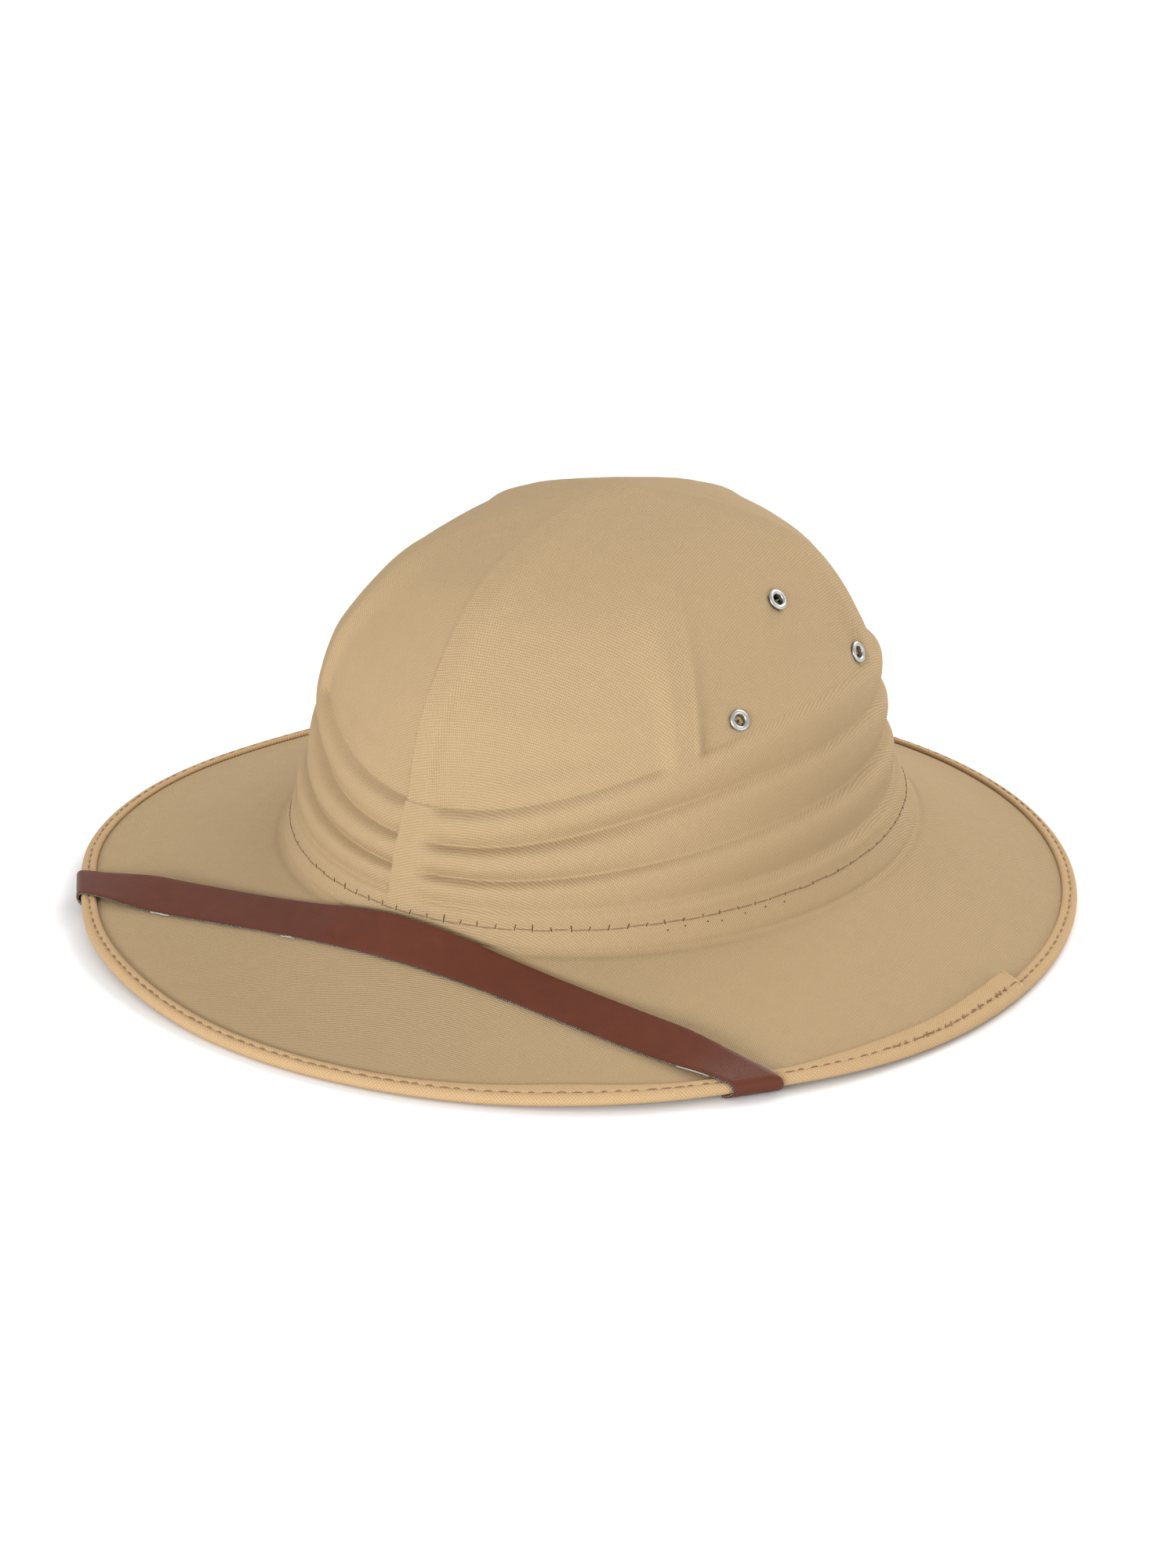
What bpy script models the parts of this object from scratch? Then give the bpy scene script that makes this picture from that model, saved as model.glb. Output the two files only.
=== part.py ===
"""Moulded cloth safari hat with a bound brim, six eyelets and a strap over the brim.

Metres, +Z up. The hat's front faces -Y and the wearer's left is +X. The origin is on the surface that the
brim rests on, under the middle of the brim. An angle round the hat is 0 at the front and grows to the
wearer's left.
"""

import functools
import math
from bisect import bisect_right

import bmesh
import bpy
from mathutils import Matrix, Vector

MM = 0.001
DEG = math.pi / 180.0

# Crown: half axes of the oval at the crease between crown and brim, its height over that crease, and the top
crown_half_length = 108.0 * MM
crown_half_width = 99.2 * MM
crown_centre_y = 10.9 * MM
crown_height = 115.0 * MM
crown_top_y = 16.3 * MM
crown_top_spread = 0.06
crown_back_sag = 6.5 * MM
crown_side_tuck = 3.5 * MM

# Brim: outermost oval from its widest line, its drop from the crease, and the strap's pull on its edge
brim_half_width = 159.9 * MM
brim_front = 154.4 * MM
brim_back = 167.4 * MM
brim_drop = 21.8 * MM
brim_edge_lift = 4.2 * MM
brim_edge_pinch = 1.5 * MM

# Cloth walls
wall = 2.4 * MM
edge_wall = 1.6 * MM
tape_thickness = 1.0 * MM
tape_width = 8.0 * MM
tape_lap_rise = 0.8 * MM
clearance = 0.3 * MM
wall_taper_start = 0.23

# Relief of the crown
rib_half_width = 4.4 * MM
rib_panel_share = 0.16
panel_depth = 2.0 * MM
panel_flat = 4.0 * MM
panel_squareness = 9.0
panel_toe = 0.16
panel_toe_lead = 0.25
fold_depth = 2.4 * MM
fold_lift = 0.5 * MM
fold_dip_sharpness = 2.4
fold_splitting_ribs = (0, 3)

# Chin strap
strap_width = 14.6 * MM
strap_thickness = 1.2 * MM
strap_clearance = 0.5 * MM
strap_slack = 1.5 * MM
strap_tape_ramp = 0.25
strap_front_y = 109.3 * MM
strap_sweep = 6.2 * MM
strap_tail = 9.0 * MM
strap_plan_middle = 0.99
strap_plan_end = 0.92
strap_flat_start = 0.70
strap_top_steps = 26
strap_under_steps = 12
strap_turns = (30.0, 70.0, 110.0, 150.0, 180.0)
strap_tail_stations = (0.4, 0.7, 1.0)

# Eyelets
eyelet_radius = 3.5 * MM
eyelet_bore_radius = 1.85 * MM
eyelet_barrel_radius = 2.45 * MM
eyelet_flange = 0.6 * MM
eyelet_bow = 0.4 * MM
eyelet_sides = 12

# Angles round the hat, in degrees
rib_angles = (-3.5, 52.0, 114.2, 180.0, 246.0, 308.0)
tape_lap_angle = 96.0
tape_lap_length = 15.0
tape_lap_step = 0.15
strap_inner_angle = 56.5
strap_outer_angle = 50.5
strap_anchor_angle = 90.0
strap_pinch_degrees = 9.0

# Crown outline: share of its height over the crease, share of the crease oval
CROWN_OUTLINE = (
    (0.00, 1.000),
    (0.079, 0.982),
    (0.197, 0.957),
    (0.325, 0.910),
    (0.452, 0.885),
    (0.570, 0.841),
    (0.671, 0.771),
    (0.763, 0.690),
    (0.846, 0.589),
    (0.920, 0.402),
    (1.00, 0.000),
)

# Tuck of the sides over the brim: share of the crown's height, share of the tuck
TUCK_FORM = (
    (0.00, 0.0),
    (0.05, 0.5),
    (0.10, 1.0),
    (0.18, 1.50),
    (0.25, 1.50),
    (0.33, 0.95),
    (0.45, 1.0),
    (0.58, 0.9),
    (0.70, 0.4),
    (0.82, 0.0),
    (1.00, 0.0),
)

# Where the sides are tucked in: angle round the hat, share of the tuck
TUCK_PLACE = (
    (-180.0, 1.0),
    (-75.0, 0.8),
    (-45.0, 0.15),
    (-20.0, 0.0),
    (45.0, 0.0),
    (75.0, 0.3),
    (110.0, 0.9),
    (140.0, 1.0),
    (180.0, 1.0),
)

# Back of the top: share of the crown's height, share of the sag
SAG_FORM = (
    (0.60, 0.0),
    (0.75, 0.8),
    (0.85, 1.0),
    (0.92, 0.9),
    (0.96, 0.55),
    (1.00, 0.0),
)

# Where the top sags: angle round the hat, share of the sag
SAG_PLACE = (
    (-180.0, 0.85),
    (-114.0, 1.0),
    (-85.0, 0.9),
    (-55.0, 0.5),
    (-10.0, 0.0),
    (110.0, 0.0),
    (150.0, 0.5),
    (180.0, 0.85),
)

# Edge of the brim: angle round the hat, share of the lift
EDGE_FORM = (
    (-180.0, 0.00),
    (-112.0, 0.00),
    (-85.0, 0.65),
    (-60.0, 1.00),
    (-35.0, 0.55),
    (-8.0, 0.00),
    (20.0, 0.10),
    (42.0, 0.42),
    (60.0, 0.46),
    (80.0, 0.24),
    (100.0, 0.17),
    (140.0, 0.10),
    (180.0, 0.00),
)

# Width of the tape on top of the brim: angle round the hat, share of the widest
TAPE_FORM = (
    (-180.0, 0.36),
    (0.0, 0.34),
    (12.0, 0.36),
    (22.0, 0.50),
    (32.0, 0.66),
    (40.0, 0.50),
    (47.0, 0.36),
    (58.0, 0.38),
    (66.0, 0.65),
    (74.0, 0.84),
    (84.0, 0.93),
    (95.9, 1.00),
    (96.1, 0.38),
    (180.0, 0.36),
)

# Brim outline: share of the way out from the crease, share of the drop left to the edge
BRIM_OUTLINE = (
    (0.00, 1.000),
    (0.10, 0.865),
    (0.25, 0.680),
    (0.45, 0.450),
    (0.70, 0.210),
    (1.00, 0.000),
)

# Fold grooves, top to bottom: height at the sides as a share of the crown's height, dip at front, dip at back
FOLD_GROOVES = (
    (0.544, 0.236, 0.118),
    (0.411, 0.177, 0.089),
    (0.264, 0.120, 0.059),
    (0.138, 0.041, 0.020),
)

# Sunk panels: share of the crown's height, share of the depth beside the ribs, share of the flattening
PANEL_FORM = (
    (0.00, 1.0, 1.0),
    (0.50, 1.0, 1.0),
    (0.70, 0.7, 0.9),
    (0.85, 0.4, 0.55),
    (0.95, 0.1, 0.10),
    (1.00, 0.0, 0.0),
)

# One fold: share of the way down from its upper groove, share of the fold's depth
FOLD_FORM = (
    (0.00, 0.00),
    (0.15, 0.80),
    (0.34, 1.00),
    (0.70, 0.52),
    (1.00, 0.00),
)

# Columns of the mesh in one panel, as shares from rib to rib
PANEL_COLUMNS = (0.0, 0.045, 0.085, 0.17, 0.34, 0.5, 0.66, 0.83, 0.915, 0.955)

# Rings of the mesh: shares from the top down to the first groove, within a fold, and from crease to edge
PANEL_RINGS = (0.09, 0.19, 0.30, 0.41, 0.52, 0.63, 0.74, 0.84, 0.93)
FOLD_RINGS = (0.0, 0.15, 0.34, 0.70)
BAND_RINGS = (0.0, 0.35, 0.75, 1.0)
BRIM_RINGS = (0.10, 0.25, 0.44, 0.65, 0.84, 1.0)

# Rolled face of an eyelet: share of the way from its bore to its rim, share of the flange
EYELET_FACE = (
    (0.0, 0.6),
    (0.5, 1.0),
    (1.0, 0.4),
)
eyelet_back_share = 0.8

# Eyelets of both side panels: name, angle, share of the crown's height
EYELETS = (
    ("eyelet_left_1", 64.5, 0.562),
    ("eyelet_left_2", 88.2, 0.799),
    ("eyelet_left_3", 108.6, 0.569),
    ("eyelet_right_1", -64.5, 0.562),
    ("eyelet_right_2", -92.0, 0.770),
    ("eyelet_right_3", -108.6, 0.569),
)

rim_thickness = edge_wall + 2.0 * (clearance + tape_thickness)
rest_height = rim_thickness / 2.0
crease_height = rest_height + brim_drop
brim_widest_y = (brim_front - brim_back) / 2.0


@functools.lru_cache(maxsize=None)
def curve_of(rows, column):
    """Places, values and tangents of a cubic through a table's column that never overshoots its rows."""
    x = [row[0] for row in rows]
    y = [row[column] for row in rows]
    slope = [(y[i + 1] - y[i]) / (x[i + 1] - x[i]) for i in range(len(x) - 1)]
    tangent = [slope[0]]
    for before, after in zip(slope[:-1], slope[1:]):
        tangent.append(2.0 * before * after / (before + after) if before * after > 0.0 else 0.0)
    return x, y, tangent + [slope[-1]]


def smooth(rows, share, column=1):
    """Read a column of a table at a share, along its cubic."""
    x, y, tangent = curve_of(rows, column)
    share = min(max(share, x[0]), x[-1])
    i = min(bisect_right(x, share) - 1, len(x) - 2)
    step = x[i + 1] - x[i]
    t = (share - x[i]) / step
    near = (1.0 + 2.0 * t) * (1.0 - t) ** 2 * y[i] + t * (1.0 - t) ** 2 * step * tangent[i]
    far = t * t * (3.0 - 2.0 * t) * y[i + 1] + t * t * (t - 1.0) * step * tangent[i + 1]
    return near + far


def ease(share):
    share = min(max(share, 0.0), 1.0)
    return share * share * (3.0 - 2.0 * share)


def mix(a, b, share):
    return a + (b - a) * share


def turned(angle):
    """The same angle in degrees between -180 and 180."""
    return (angle / DEG + 180.0) % 360.0 - 180.0


def brim_edge(angle, inset=0.0):
    """Top of the shell's edge at an angle, drawn in from the outermost line by an inset."""
    reach = brim_front if math.cos(angle) > 0.0 else brim_back
    strap_middle = (strap_inner_angle + strap_outer_angle) / 2.0
    off_strap = (abs(turned(angle)) - strap_middle) / strap_pinch_degrees
    inset += brim_edge_pinch * math.exp(-off_strap * off_strap)
    x = (brim_half_width - inset) * math.sin(angle)
    y = brim_widest_y - (reach - inset) * math.cos(angle)
    z = rest_height + brim_edge_lift * smooth(EDGE_FORM, turned(angle)) + edge_wall / 2.0
    return Vector((x, y, z))


def crown_point(angle, height):
    """Outer surface of the crown without its relief, at a share of the crown's height over the crease."""
    tuck = crown_side_tuck * smooth(TUCK_FORM, height) * smooth(TUCK_PLACE, turned(angle))
    share = smooth(CROWN_OUTLINE, height) - tuck / crown_half_length
    x = crown_half_width * share * (1.0 + crown_top_spread * height) * math.sin(angle)
    y = mix(crown_centre_y, crown_top_y, height) - crown_half_length * share * math.cos(angle)
    sag = crown_back_sag * smooth(SAG_FORM, height) * smooth(SAG_PLACE, turned(angle))
    return Vector((x, y, crease_height + crown_height * height - sag))


def brim_point(angle, out):
    """Top surface of the brim at a share of the way out from the crease."""
    edge = brim_edge(angle, tape_thickness + clearance)
    crease = crown_point(angle, 0.0)
    point = crease.lerp(edge, out)
    point.z = mix(edge.z, crease.z, smooth(BRIM_OUTLINE, out))
    return point


def surface(angle, along):
    """Outer surface without relief: along runs 0 at the top, 1 at the crease, 2 at the brim's edge."""
    if along <= 1.0:
        return crown_point(angle, 1.0 - max(along, 0.0))
    return brim_point(angle, along - 1.0)


def outward(angle, along, span=0.025, turn=0.01):
    """Outward direction, evened over a short span so that it turns smoothly at the crease."""
    if along <= 0.0:
        return Vector((0.0, 0.0, 1.0))
    down = surface(angle, min(along + span, 2.0)) - surface(angle, along - min(span, along))
    round_hat = surface(angle + turn, along) - surface(angle - turn, along)
    return down.cross(round_hat).normalized()


def groove_height(row, angle):
    """Height of a fold's groove over the crease, as a share of the crown's height."""
    side, front_dip, back_dip = FOLD_GROOVES[row]
    facing = math.cos(angle - rib_angles[0] * DEG)
    dip = front_dip if facing > 0.0 else back_dip
    return side - dip * abs(facing) ** fold_dip_sharpness


def rib_distance(angle, height):
    """Distance to the near rib, share of the way over the panel, its width, and if the rib splits folds."""
    degrees = (angle / DEG - rib_angles[0]) % 360.0 + rib_angles[0]
    edges = rib_angles + (rib_angles[0] + 360.0,)
    index = max(i for i in range(len(rib_angles)) if edges[i] <= degrees + 1e-9)
    low = edges[index]
    high = edges[index + 1]
    radius = smooth(CROWN_OUTLINE, height) * (crown_half_length + crown_half_width) / 2.0
    across = (degrees - low) / (high - low)
    from_low = (degrees - low) * DEG * radius
    from_high = (high - degrees) * DEG * radius
    nearest = index if from_low <= from_high else (index + 1) % len(rib_angles)
    panel = (high - low) * DEG * radius
    return min(from_low, from_high), across, panel, nearest in fold_splitting_ribs


def relief(angle, height):
    """Rise of the moulded surface over the plain crown at a share of the crown's height."""
    distance, across, panel, splits_folds = rib_distance(angle, height)
    rib = min(rib_half_width, rib_panel_share * panel)
    margin = rib / max(panel, MM)
    inside = min(max((across - margin) / (1.0 - 2.0 * margin), 0.0), 1.0)
    off_middle = abs(2.0 * inside - 1.0)
    top = groove_height(0, angle)
    over_folds = ease((height - top) / panel_toe + panel_toe_lead)
    sunk = panel_depth * smooth(PANEL_FORM, height) * (1.0 - off_middle ** panel_squareness)
    sunk += panel_flat * smooth(PANEL_FORM, height, 2) * (1.0 - off_middle ** 2) * over_folds
    if height >= top:
        return -sunk
    last = groove_height(3, angle)
    rise = fold_lift * ease(height / last)
    for row in range(3):
        upper = groove_height(row, angle)
        lower = groove_height(row + 1, angle)
        if lower <= height <= upper:
            share = (upper - height) / (upper - lower)
            rise = fold_lift - fold_depth * (1.0 - smooth(FOLD_FORM, share))
    if height < last:
        rise = mix(0.0, fold_lift - fold_depth, ease(height / last))
    if splits_folds:
        on_rib = 1.0 - ease((distance - rib_half_width) / rib_half_width)
        rise = mix(rise, fold_lift * ease(height / last), on_rib)
    return rise


def wall_at(along):
    """Thickness of the shell, which thins over the brim."""
    return mix(wall, edge_wall, ease((along - 1.0 - wall_taper_start) / (1.0 - wall_taper_start)))


def skin(angle, along, depth=0.0):
    """Point of the moulded surface, or a depth under it."""
    rise = relief(angle, 1.0 - along) if along < 1.0 else 0.0
    return surface(angle, along) + outward(angle, along) * (rise - depth)


def tape_along(angle, span=0.1):
    """Where the tape's inner edge lies on the brim."""
    reach = (brim_point(angle, 1.0) - brim_point(angle, 1.0 - span)).length / span
    return 2.0 - tape_width * smooth(TAPE_FORM, turned(angle)) / reach


def column_angles():
    """Angles of the mesh's columns, closer together beside the ribs."""
    edges = rib_angles + (rib_angles[0] + 360.0,)
    columns = []
    for low, high in zip(edges[:-1], edges[1:]):
        columns += [mix(low, high, share) * DEG for share in PANEL_COLUMNS]
    return columns


def ring_places(angle):
    """Places of the mesh's rings down one column, from under the top to the brim's edge."""
    heights = [mix(1.0, groove_height(0, angle), share) for share in PANEL_RINGS]
    for row in range(3):
        upper = groove_height(row, angle)
        lower = groove_height(row + 1, angle)
        heights += [mix(upper, lower, share) for share in FOLD_RINGS]
    heights += [mix(groove_height(3, angle), 0.0, share) for share in BAND_RINGS]
    return [1.0 - height for height in heights] + [1.0 + share for share in BRIM_RINGS]


def material(name, color, roughness, metallic=0.0):
    made = bpy.data.materials.new(name)
    made.use_nodes = True
    shader = made.node_tree.nodes["Principled BSDF"]
    shader.inputs["Base Color"].default_value = (*color, 1.0)
    shader.inputs["Roughness"].default_value = roughness
    shader.inputs["Metallic"].default_value = metallic
    return made


def add_object(name, bm, finish):
    bmesh.ops.recalc_face_normals(bm, faces=bm.faces)
    mesh = bpy.data.meshes.new(name)
    bm.to_mesh(mesh)
    bm.free()
    mesh.shade_smooth()
    mesh.set_sharp_from_angle(angle=35.0 * DEG)
    mesh.materials.append(finish)
    made = bpy.data.objects.new(name, mesh)
    bpy.context.scene.collection.objects.link(made)
    return made


def bridge(bm, near, far, closed=True):
    """Faces between two rows of vertices."""
    count = len(near)
    for i in range(count if closed else count - 1):
        j = (i + 1) % count
        bm.faces.new((near[i], near[j], far[j], far[i]))


def tube_of_sections(sections, closed):
    """Closed solid swept through sections of equally many points, a ring or a bar with flat ends."""
    bm = bmesh.new()
    rows = [[bm.verts.new(point) for point in section] for section in sections]
    for near, far in zip(rows[:-1], rows[1:]):
        bridge(bm, near, far)
    if closed:
        bridge(bm, rows[-1], rows[0])
    else:
        bm.faces.new(rows[0])
        bm.faces.new(rows[-1])
    return bm


def build_shell(finish):
    """Crown and brim in one moulded sheet: an outer skin, an inner skin and the edge between them."""
    bm = bmesh.new()
    columns = column_angles()
    outer = []
    inner = []
    for angle in columns:
        places = ring_places(angle)
        outer.append([bm.verts.new(skin(angle, along)) for along in places])
        inner.append([bm.verts.new(skin(angle, along, wall_at(along))) for along in places])
    outer_top = bm.verts.new(skin(0.0, 0.0))
    inner_top = bm.verts.new(skin(0.0, 0.0, wall))
    for i in range(len(columns)):
        j = (i + 1) % len(columns)
        bridge(bm, outer[i], outer[j], closed=False)
        bridge(bm, inner[j], inner[i], closed=False)
        bm.faces.new((outer[i][0], outer[j][0], outer_top))
        bm.faces.new((inner[j][0], inner[i][0], inner_top))
        bm.faces.new((outer[i][-1], inner[i][-1], inner[j][-1], outer[j][-1]))
    return add_object("shell", bm, finish)


def tape_rise(angle):
    """Extra thickness where the tape's cut end laps over its start."""
    past = (tape_lap_angle - angle / DEG) / tape_lap_length
    if past < 0.0 or past > 1.0:
        return 0.0
    return tape_lap_rise * (1.0 - ease(past * 2.0 - 1.0))


def build_binding(finish):
    """Tape folded over the brim's edge."""
    columns = [angle / DEG for angle in column_angles()]
    columns += [tape_lap_angle - tape_lap_step, tape_lap_angle + tape_lap_step]
    columns += [tape_lap_angle - tape_lap_length * share for share in (0.5, 0.75, 1.0)]
    sections = []
    for degrees in sorted(columns):
        angle = degrees * DEG
        tape = tape_along(angle)
        top_end = skin(angle, tape)
        top_edge = skin(angle, 2.0)
        low_end = skin(angle, tape, wall_at(tape))
        low_edge = skin(angle, 2.0, edge_wall)
        up = outward(angle, 2.0)
        out = (top_edge - top_end).normalized()
        near = clearance
        far = clearance + tape_thickness
        lap = tape_rise(angle)
        sections.append((
            top_end + up * near,
            top_end + up * (far + lap),
            top_edge + up * (far + lap),
            top_edge + out * far + up * (clearance + lap / 2.0),
            low_edge + out * far - up * clearance,
            low_edge - up * far,
            low_end - up * far,
            low_end - up * near,
            low_edge + out * near - up * near,
            top_edge + out * near + up * near,
        ))
    return add_object("brim_binding", tube_of_sections(sections, closed=True), finish)


def brim_at(x, y, rounds=30, step=1e-4):
    """Angle and place on the brim over a point of the plan, found by stepping down the misfit."""
    angle = math.atan2(x, -y)
    along = 1.5
    for _ in range(rounds):
        here = surface(angle, along)
        turn = surface(angle + step, along) - here
        run = surface(angle, along + step) - here
        miss = Vector((x - here.x, y - here.y))
        spread = turn.x * run.y - turn.y * run.x
        angle += step * (miss.x * run.y - miss.y * run.x) / spread
        along += step * (turn.x * miss.y - turn.y * miss.x) / spread
        along = min(max(along, 1.0), 2.0)
    return angle, along


def strap_lift(angle, along):
    """Height of the strap's near face over the shell, which grows where it passes the tape."""
    tape = tape_along(angle)
    over_tape = ease(1.0 - (tape - along) / strap_tape_ramp)
    return strap_clearance + (tape_thickness + clearance) * over_tape


def strap_outer_line(share):
    """Front edge of the strap on top of the brim, from the brim's right edge (-1) to its left edge (1)."""
    end = brim_edge(strap_outer_angle * DEG)
    x = end.x * share
    return x, mix(-strap_front_y, -strap_front_y + strap_sweep, share * share)


def strap_top_station(share):
    """Front and back edge of the strap on top of the brim; the back edge stands up, and lies flat at the rim."""
    x, y = strap_outer_line(share)
    angle, along = brim_at(x, y)
    up = outward(angle, along)
    front = surface(angle, along) + up * strap_lift(angle, along)
    inner_end = brim_edge(strap_inner_angle * DEG)
    x = inner_end.x * share
    plain = front.y + strap_width * mix(strap_plan_middle, strap_plan_end, share * share)
    crown_y = crown_centre_y - crown_half_length * math.sqrt(1.0 - min(abs(x) / crown_half_width, 1.0) ** 2)
    over = plain - (crown_y - strap_clearance)
    y = plain - (over + math.hypot(over, strap_slack)) / 2.0
    angle, along = brim_at(x, y)
    back = surface(angle, along) + outward(angle, along) * strap_lift(angle, along)
    standing = 1.0 - ease((abs(share) - strap_flat_start) / (1.0 - strap_flat_start))
    leaning = front.z + standing * math.sqrt(max(strap_width ** 2 - (y - front.y) ** 2, 0.0))
    back.z = (back.z + leaning + math.hypot(back.z - leaning, strap_clearance)) / 2.0
    return front, back


def strap_under_line(side):
    """Stations of one side from the brim's edge, under the brim, to the strap's end inside the crown."""
    half = strap_width / (crown_half_width + crown_half_length) / DEG
    line = []
    for i in range(strap_under_steps + 1):
        share = i / strap_under_steps
        swing = math.sin(share * math.pi / 2.0)
        outer_angle = mix(strap_outer_angle, strap_anchor_angle - half, swing) * side * DEG
        inner_angle = mix(strap_inner_angle, strap_anchor_angle + half, swing) * side * DEG
        line.append(strap_under_pair(outer_angle, inner_angle, mix(2.0, 1.0, share)))
    for share in strap_tail_stations:
        line.append(strap_under_pair(outer_angle, inner_angle, 1.0 - strap_tail / crown_height * share))
    return line


def build_strap(finish):
    """Strap over the front of the brim, round its edge and under it, up into the crown at both sides."""
    top = []
    for i in range(1, strap_top_steps):
        top.append(strap_pair_normals(strap_top_station(mix(-1.0, 1.0, i / strap_top_steps))))
    stations = list(reversed(strap_under_line(-1.0))) + strap_turn(-1.0)
    stations += top
    stations += list(reversed(strap_turn(1.0))) + strap_under_line(1.0)
    sections = []
    for front, back, up_front, up_back in stations:
        sections.append((
            front,
            back,
            back + up_back * strap_thickness,
            front + up_front * strap_thickness,
        ))
    return add_object("chin_strap", tube_of_sections(sections, closed=False), finish)


def strap_pair_normals(pair):
    """Station on top of the brim, with the direction across the strap turned upright."""
    front, back = pair
    across = (back - front).normalized()
    up = Vector((1.0, 0.0, 0.0)).cross(across).normalized()
    return front, back, up, up


def strap_under_pair(outer_angle, inner_angle, along):
    """Station under the brim or inside the crown."""
    ends = []
    for angle in (outer_angle, inner_angle):
        depth = wall_at(along) + strap_lift(angle, along)
        ends.append((skin(angle, along, depth), -outward(angle, along)))
    return ends[0][0], ends[1][0], ends[0][1], ends[1][1]


def strap_turn(side, span=0.05):
    """Stations round the brim's edge, from below to above."""
    stations = []
    for turn in strap_turns:
        ends = []
        for degrees in (strap_outer_angle, strap_inner_angle):
            angle = degrees * side * DEG
            up = outward(angle, 2.0)
            out = (skin(angle, 2.0) - skin(angle, 2.0 - span)).normalized()
            middle = skin(angle, 2.0, edge_wall / 2.0) + out * clearance
            way = -up * math.cos(turn * DEG) + out * math.sin(turn * DEG)
            reach = edge_wall / 2.0 + clearance + tape_thickness + strap_clearance
            ends.append((middle + way * reach, way))
        stations.append((ends[0][0], ends[1][0], ends[0][1], ends[1][1]))
    return stations


def eyelet_frame(degrees, height):
    """Placement of an eyelet, its axis along the shell's outward direction."""
    angle = degrees * DEG
    along = 1.0 - height
    turn_span = eyelet_radius / crown_half_width
    run_span = eyelet_radius / crown_height
    down = skin(angle, along + run_span) - skin(angle, along - run_span)
    round_hat = skin(angle + turn_span, along) - skin(angle - turn_span, along)
    axis = down.cross(round_hat).normalized()
    turn = axis.to_track_quat("Z", "Y").to_matrix().to_4x4()
    return Matrix.Translation(skin(angle, along)) @ turn


def lathe(profile, sides):
    """Ring turned from a closed profile of (radius, height) points."""
    sections = []
    for i in range(sides):
        turn = 2.0 * math.pi * i / sides
        sections.append([Vector((r * math.cos(turn), r * math.sin(turn), z)) for r, z in profile])
    return tube_of_sections(sections, closed=True)


def build_eyelet(name, frame, finish):
    """Rolled metal ring through the shell."""
    seat = clearance + eyelet_bow
    inside = -wall - seat
    profile = []
    for across, rise in EYELET_FACE:
        profile.append((mix(eyelet_bore_radius, eyelet_radius, across), seat + eyelet_flange * rise))
    profile += [
        (eyelet_radius, seat),
        (eyelet_barrel_radius, seat),
        (eyelet_barrel_radius, inside),
        (eyelet_radius, inside),
        (eyelet_radius, inside - eyelet_flange * eyelet_back_share),
        (eyelet_bore_radius, inside - eyelet_flange * eyelet_back_share),
    ]
    made = add_object(name, lathe(profile, eyelet_sides), finish)
    made.matrix_world = frame
    return made


def cut_eyelet_holes(shell, frames):
    """Holes through the shell, a clearance wider than the barrels."""
    bm = bmesh.new()
    radius = eyelet_barrel_radius + clearance / math.cos(math.pi / eyelet_sides)
    reach = 4.0 * wall
    for frame in frames:
        made = bmesh.ops.create_cone(
            bm, cap_ends=True, segments=eyelet_sides, radius1=radius, radius2=radius, depth=reach)
        bmesh.ops.transform(bm, matrix=frame, verts=made["verts"])
    cutter = add_object("eyelet_hole_cutter", bm, shell.data.materials[0])
    cutter.hide_render = True
    cutter.display_type = "WIRE"
    cut = shell.modifiers.new("eyelet holes", "BOOLEAN")
    cut.operation = "DIFFERENCE"
    cut.object = cutter


def main():
    for old in list(bpy.data.objects):
        bpy.data.objects.remove(old)
    cloth = material("khaki cloth", (0.58, 0.43, 0.23), 0.9)
    tape = material("binding tape", (0.64, 0.46, 0.24), 0.9)
    leather = material("strap leather", (0.10, 0.03, 0.02), 0.5)
    metal = material("eyelet metal", (0.7, 0.7, 0.7), 0.3, 1.0)
    shell = build_shell(cloth)
    build_binding(tape)
    build_strap(leather)
    frames = []
    for name, degrees, height in EYELETS:
        frame = eyelet_frame(degrees, height)
        frames.append(frame)
        build_eyelet(name, frame, metal)
    cut_eyelet_holes(shell, frames)


main()
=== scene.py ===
"""Dresses the safari hat: moulded twill shell, bound brim, strap, eyelets, stitching, studio and camera."""

import math
import random

import bpy
import numpy as np
from mathutils import Matrix, Vector


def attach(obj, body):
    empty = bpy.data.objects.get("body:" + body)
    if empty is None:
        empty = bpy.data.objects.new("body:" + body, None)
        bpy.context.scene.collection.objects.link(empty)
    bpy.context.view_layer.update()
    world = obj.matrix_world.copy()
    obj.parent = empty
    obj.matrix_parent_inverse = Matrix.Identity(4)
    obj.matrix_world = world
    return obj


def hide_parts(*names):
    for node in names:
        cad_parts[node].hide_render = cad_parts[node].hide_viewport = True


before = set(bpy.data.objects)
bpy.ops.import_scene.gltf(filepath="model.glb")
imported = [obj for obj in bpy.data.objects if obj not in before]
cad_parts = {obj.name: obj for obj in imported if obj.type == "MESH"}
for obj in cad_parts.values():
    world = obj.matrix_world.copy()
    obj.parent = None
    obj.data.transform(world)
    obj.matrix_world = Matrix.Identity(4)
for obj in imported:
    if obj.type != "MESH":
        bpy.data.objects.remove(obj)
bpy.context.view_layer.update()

bl_info = {
    "name": "Safari Hat",
    "version": (1, 0, 0),
    "blender": (4, 5, 0),
    "location": "View3D > Sidebar > Safari Hat",
    "description": "Builds a moulded cloth safari hat and its studio",
    "category": "Object",
}

MM = 0.001
DEG = math.pi / 180.0
TAU = 2.0 * math.pi

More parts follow.
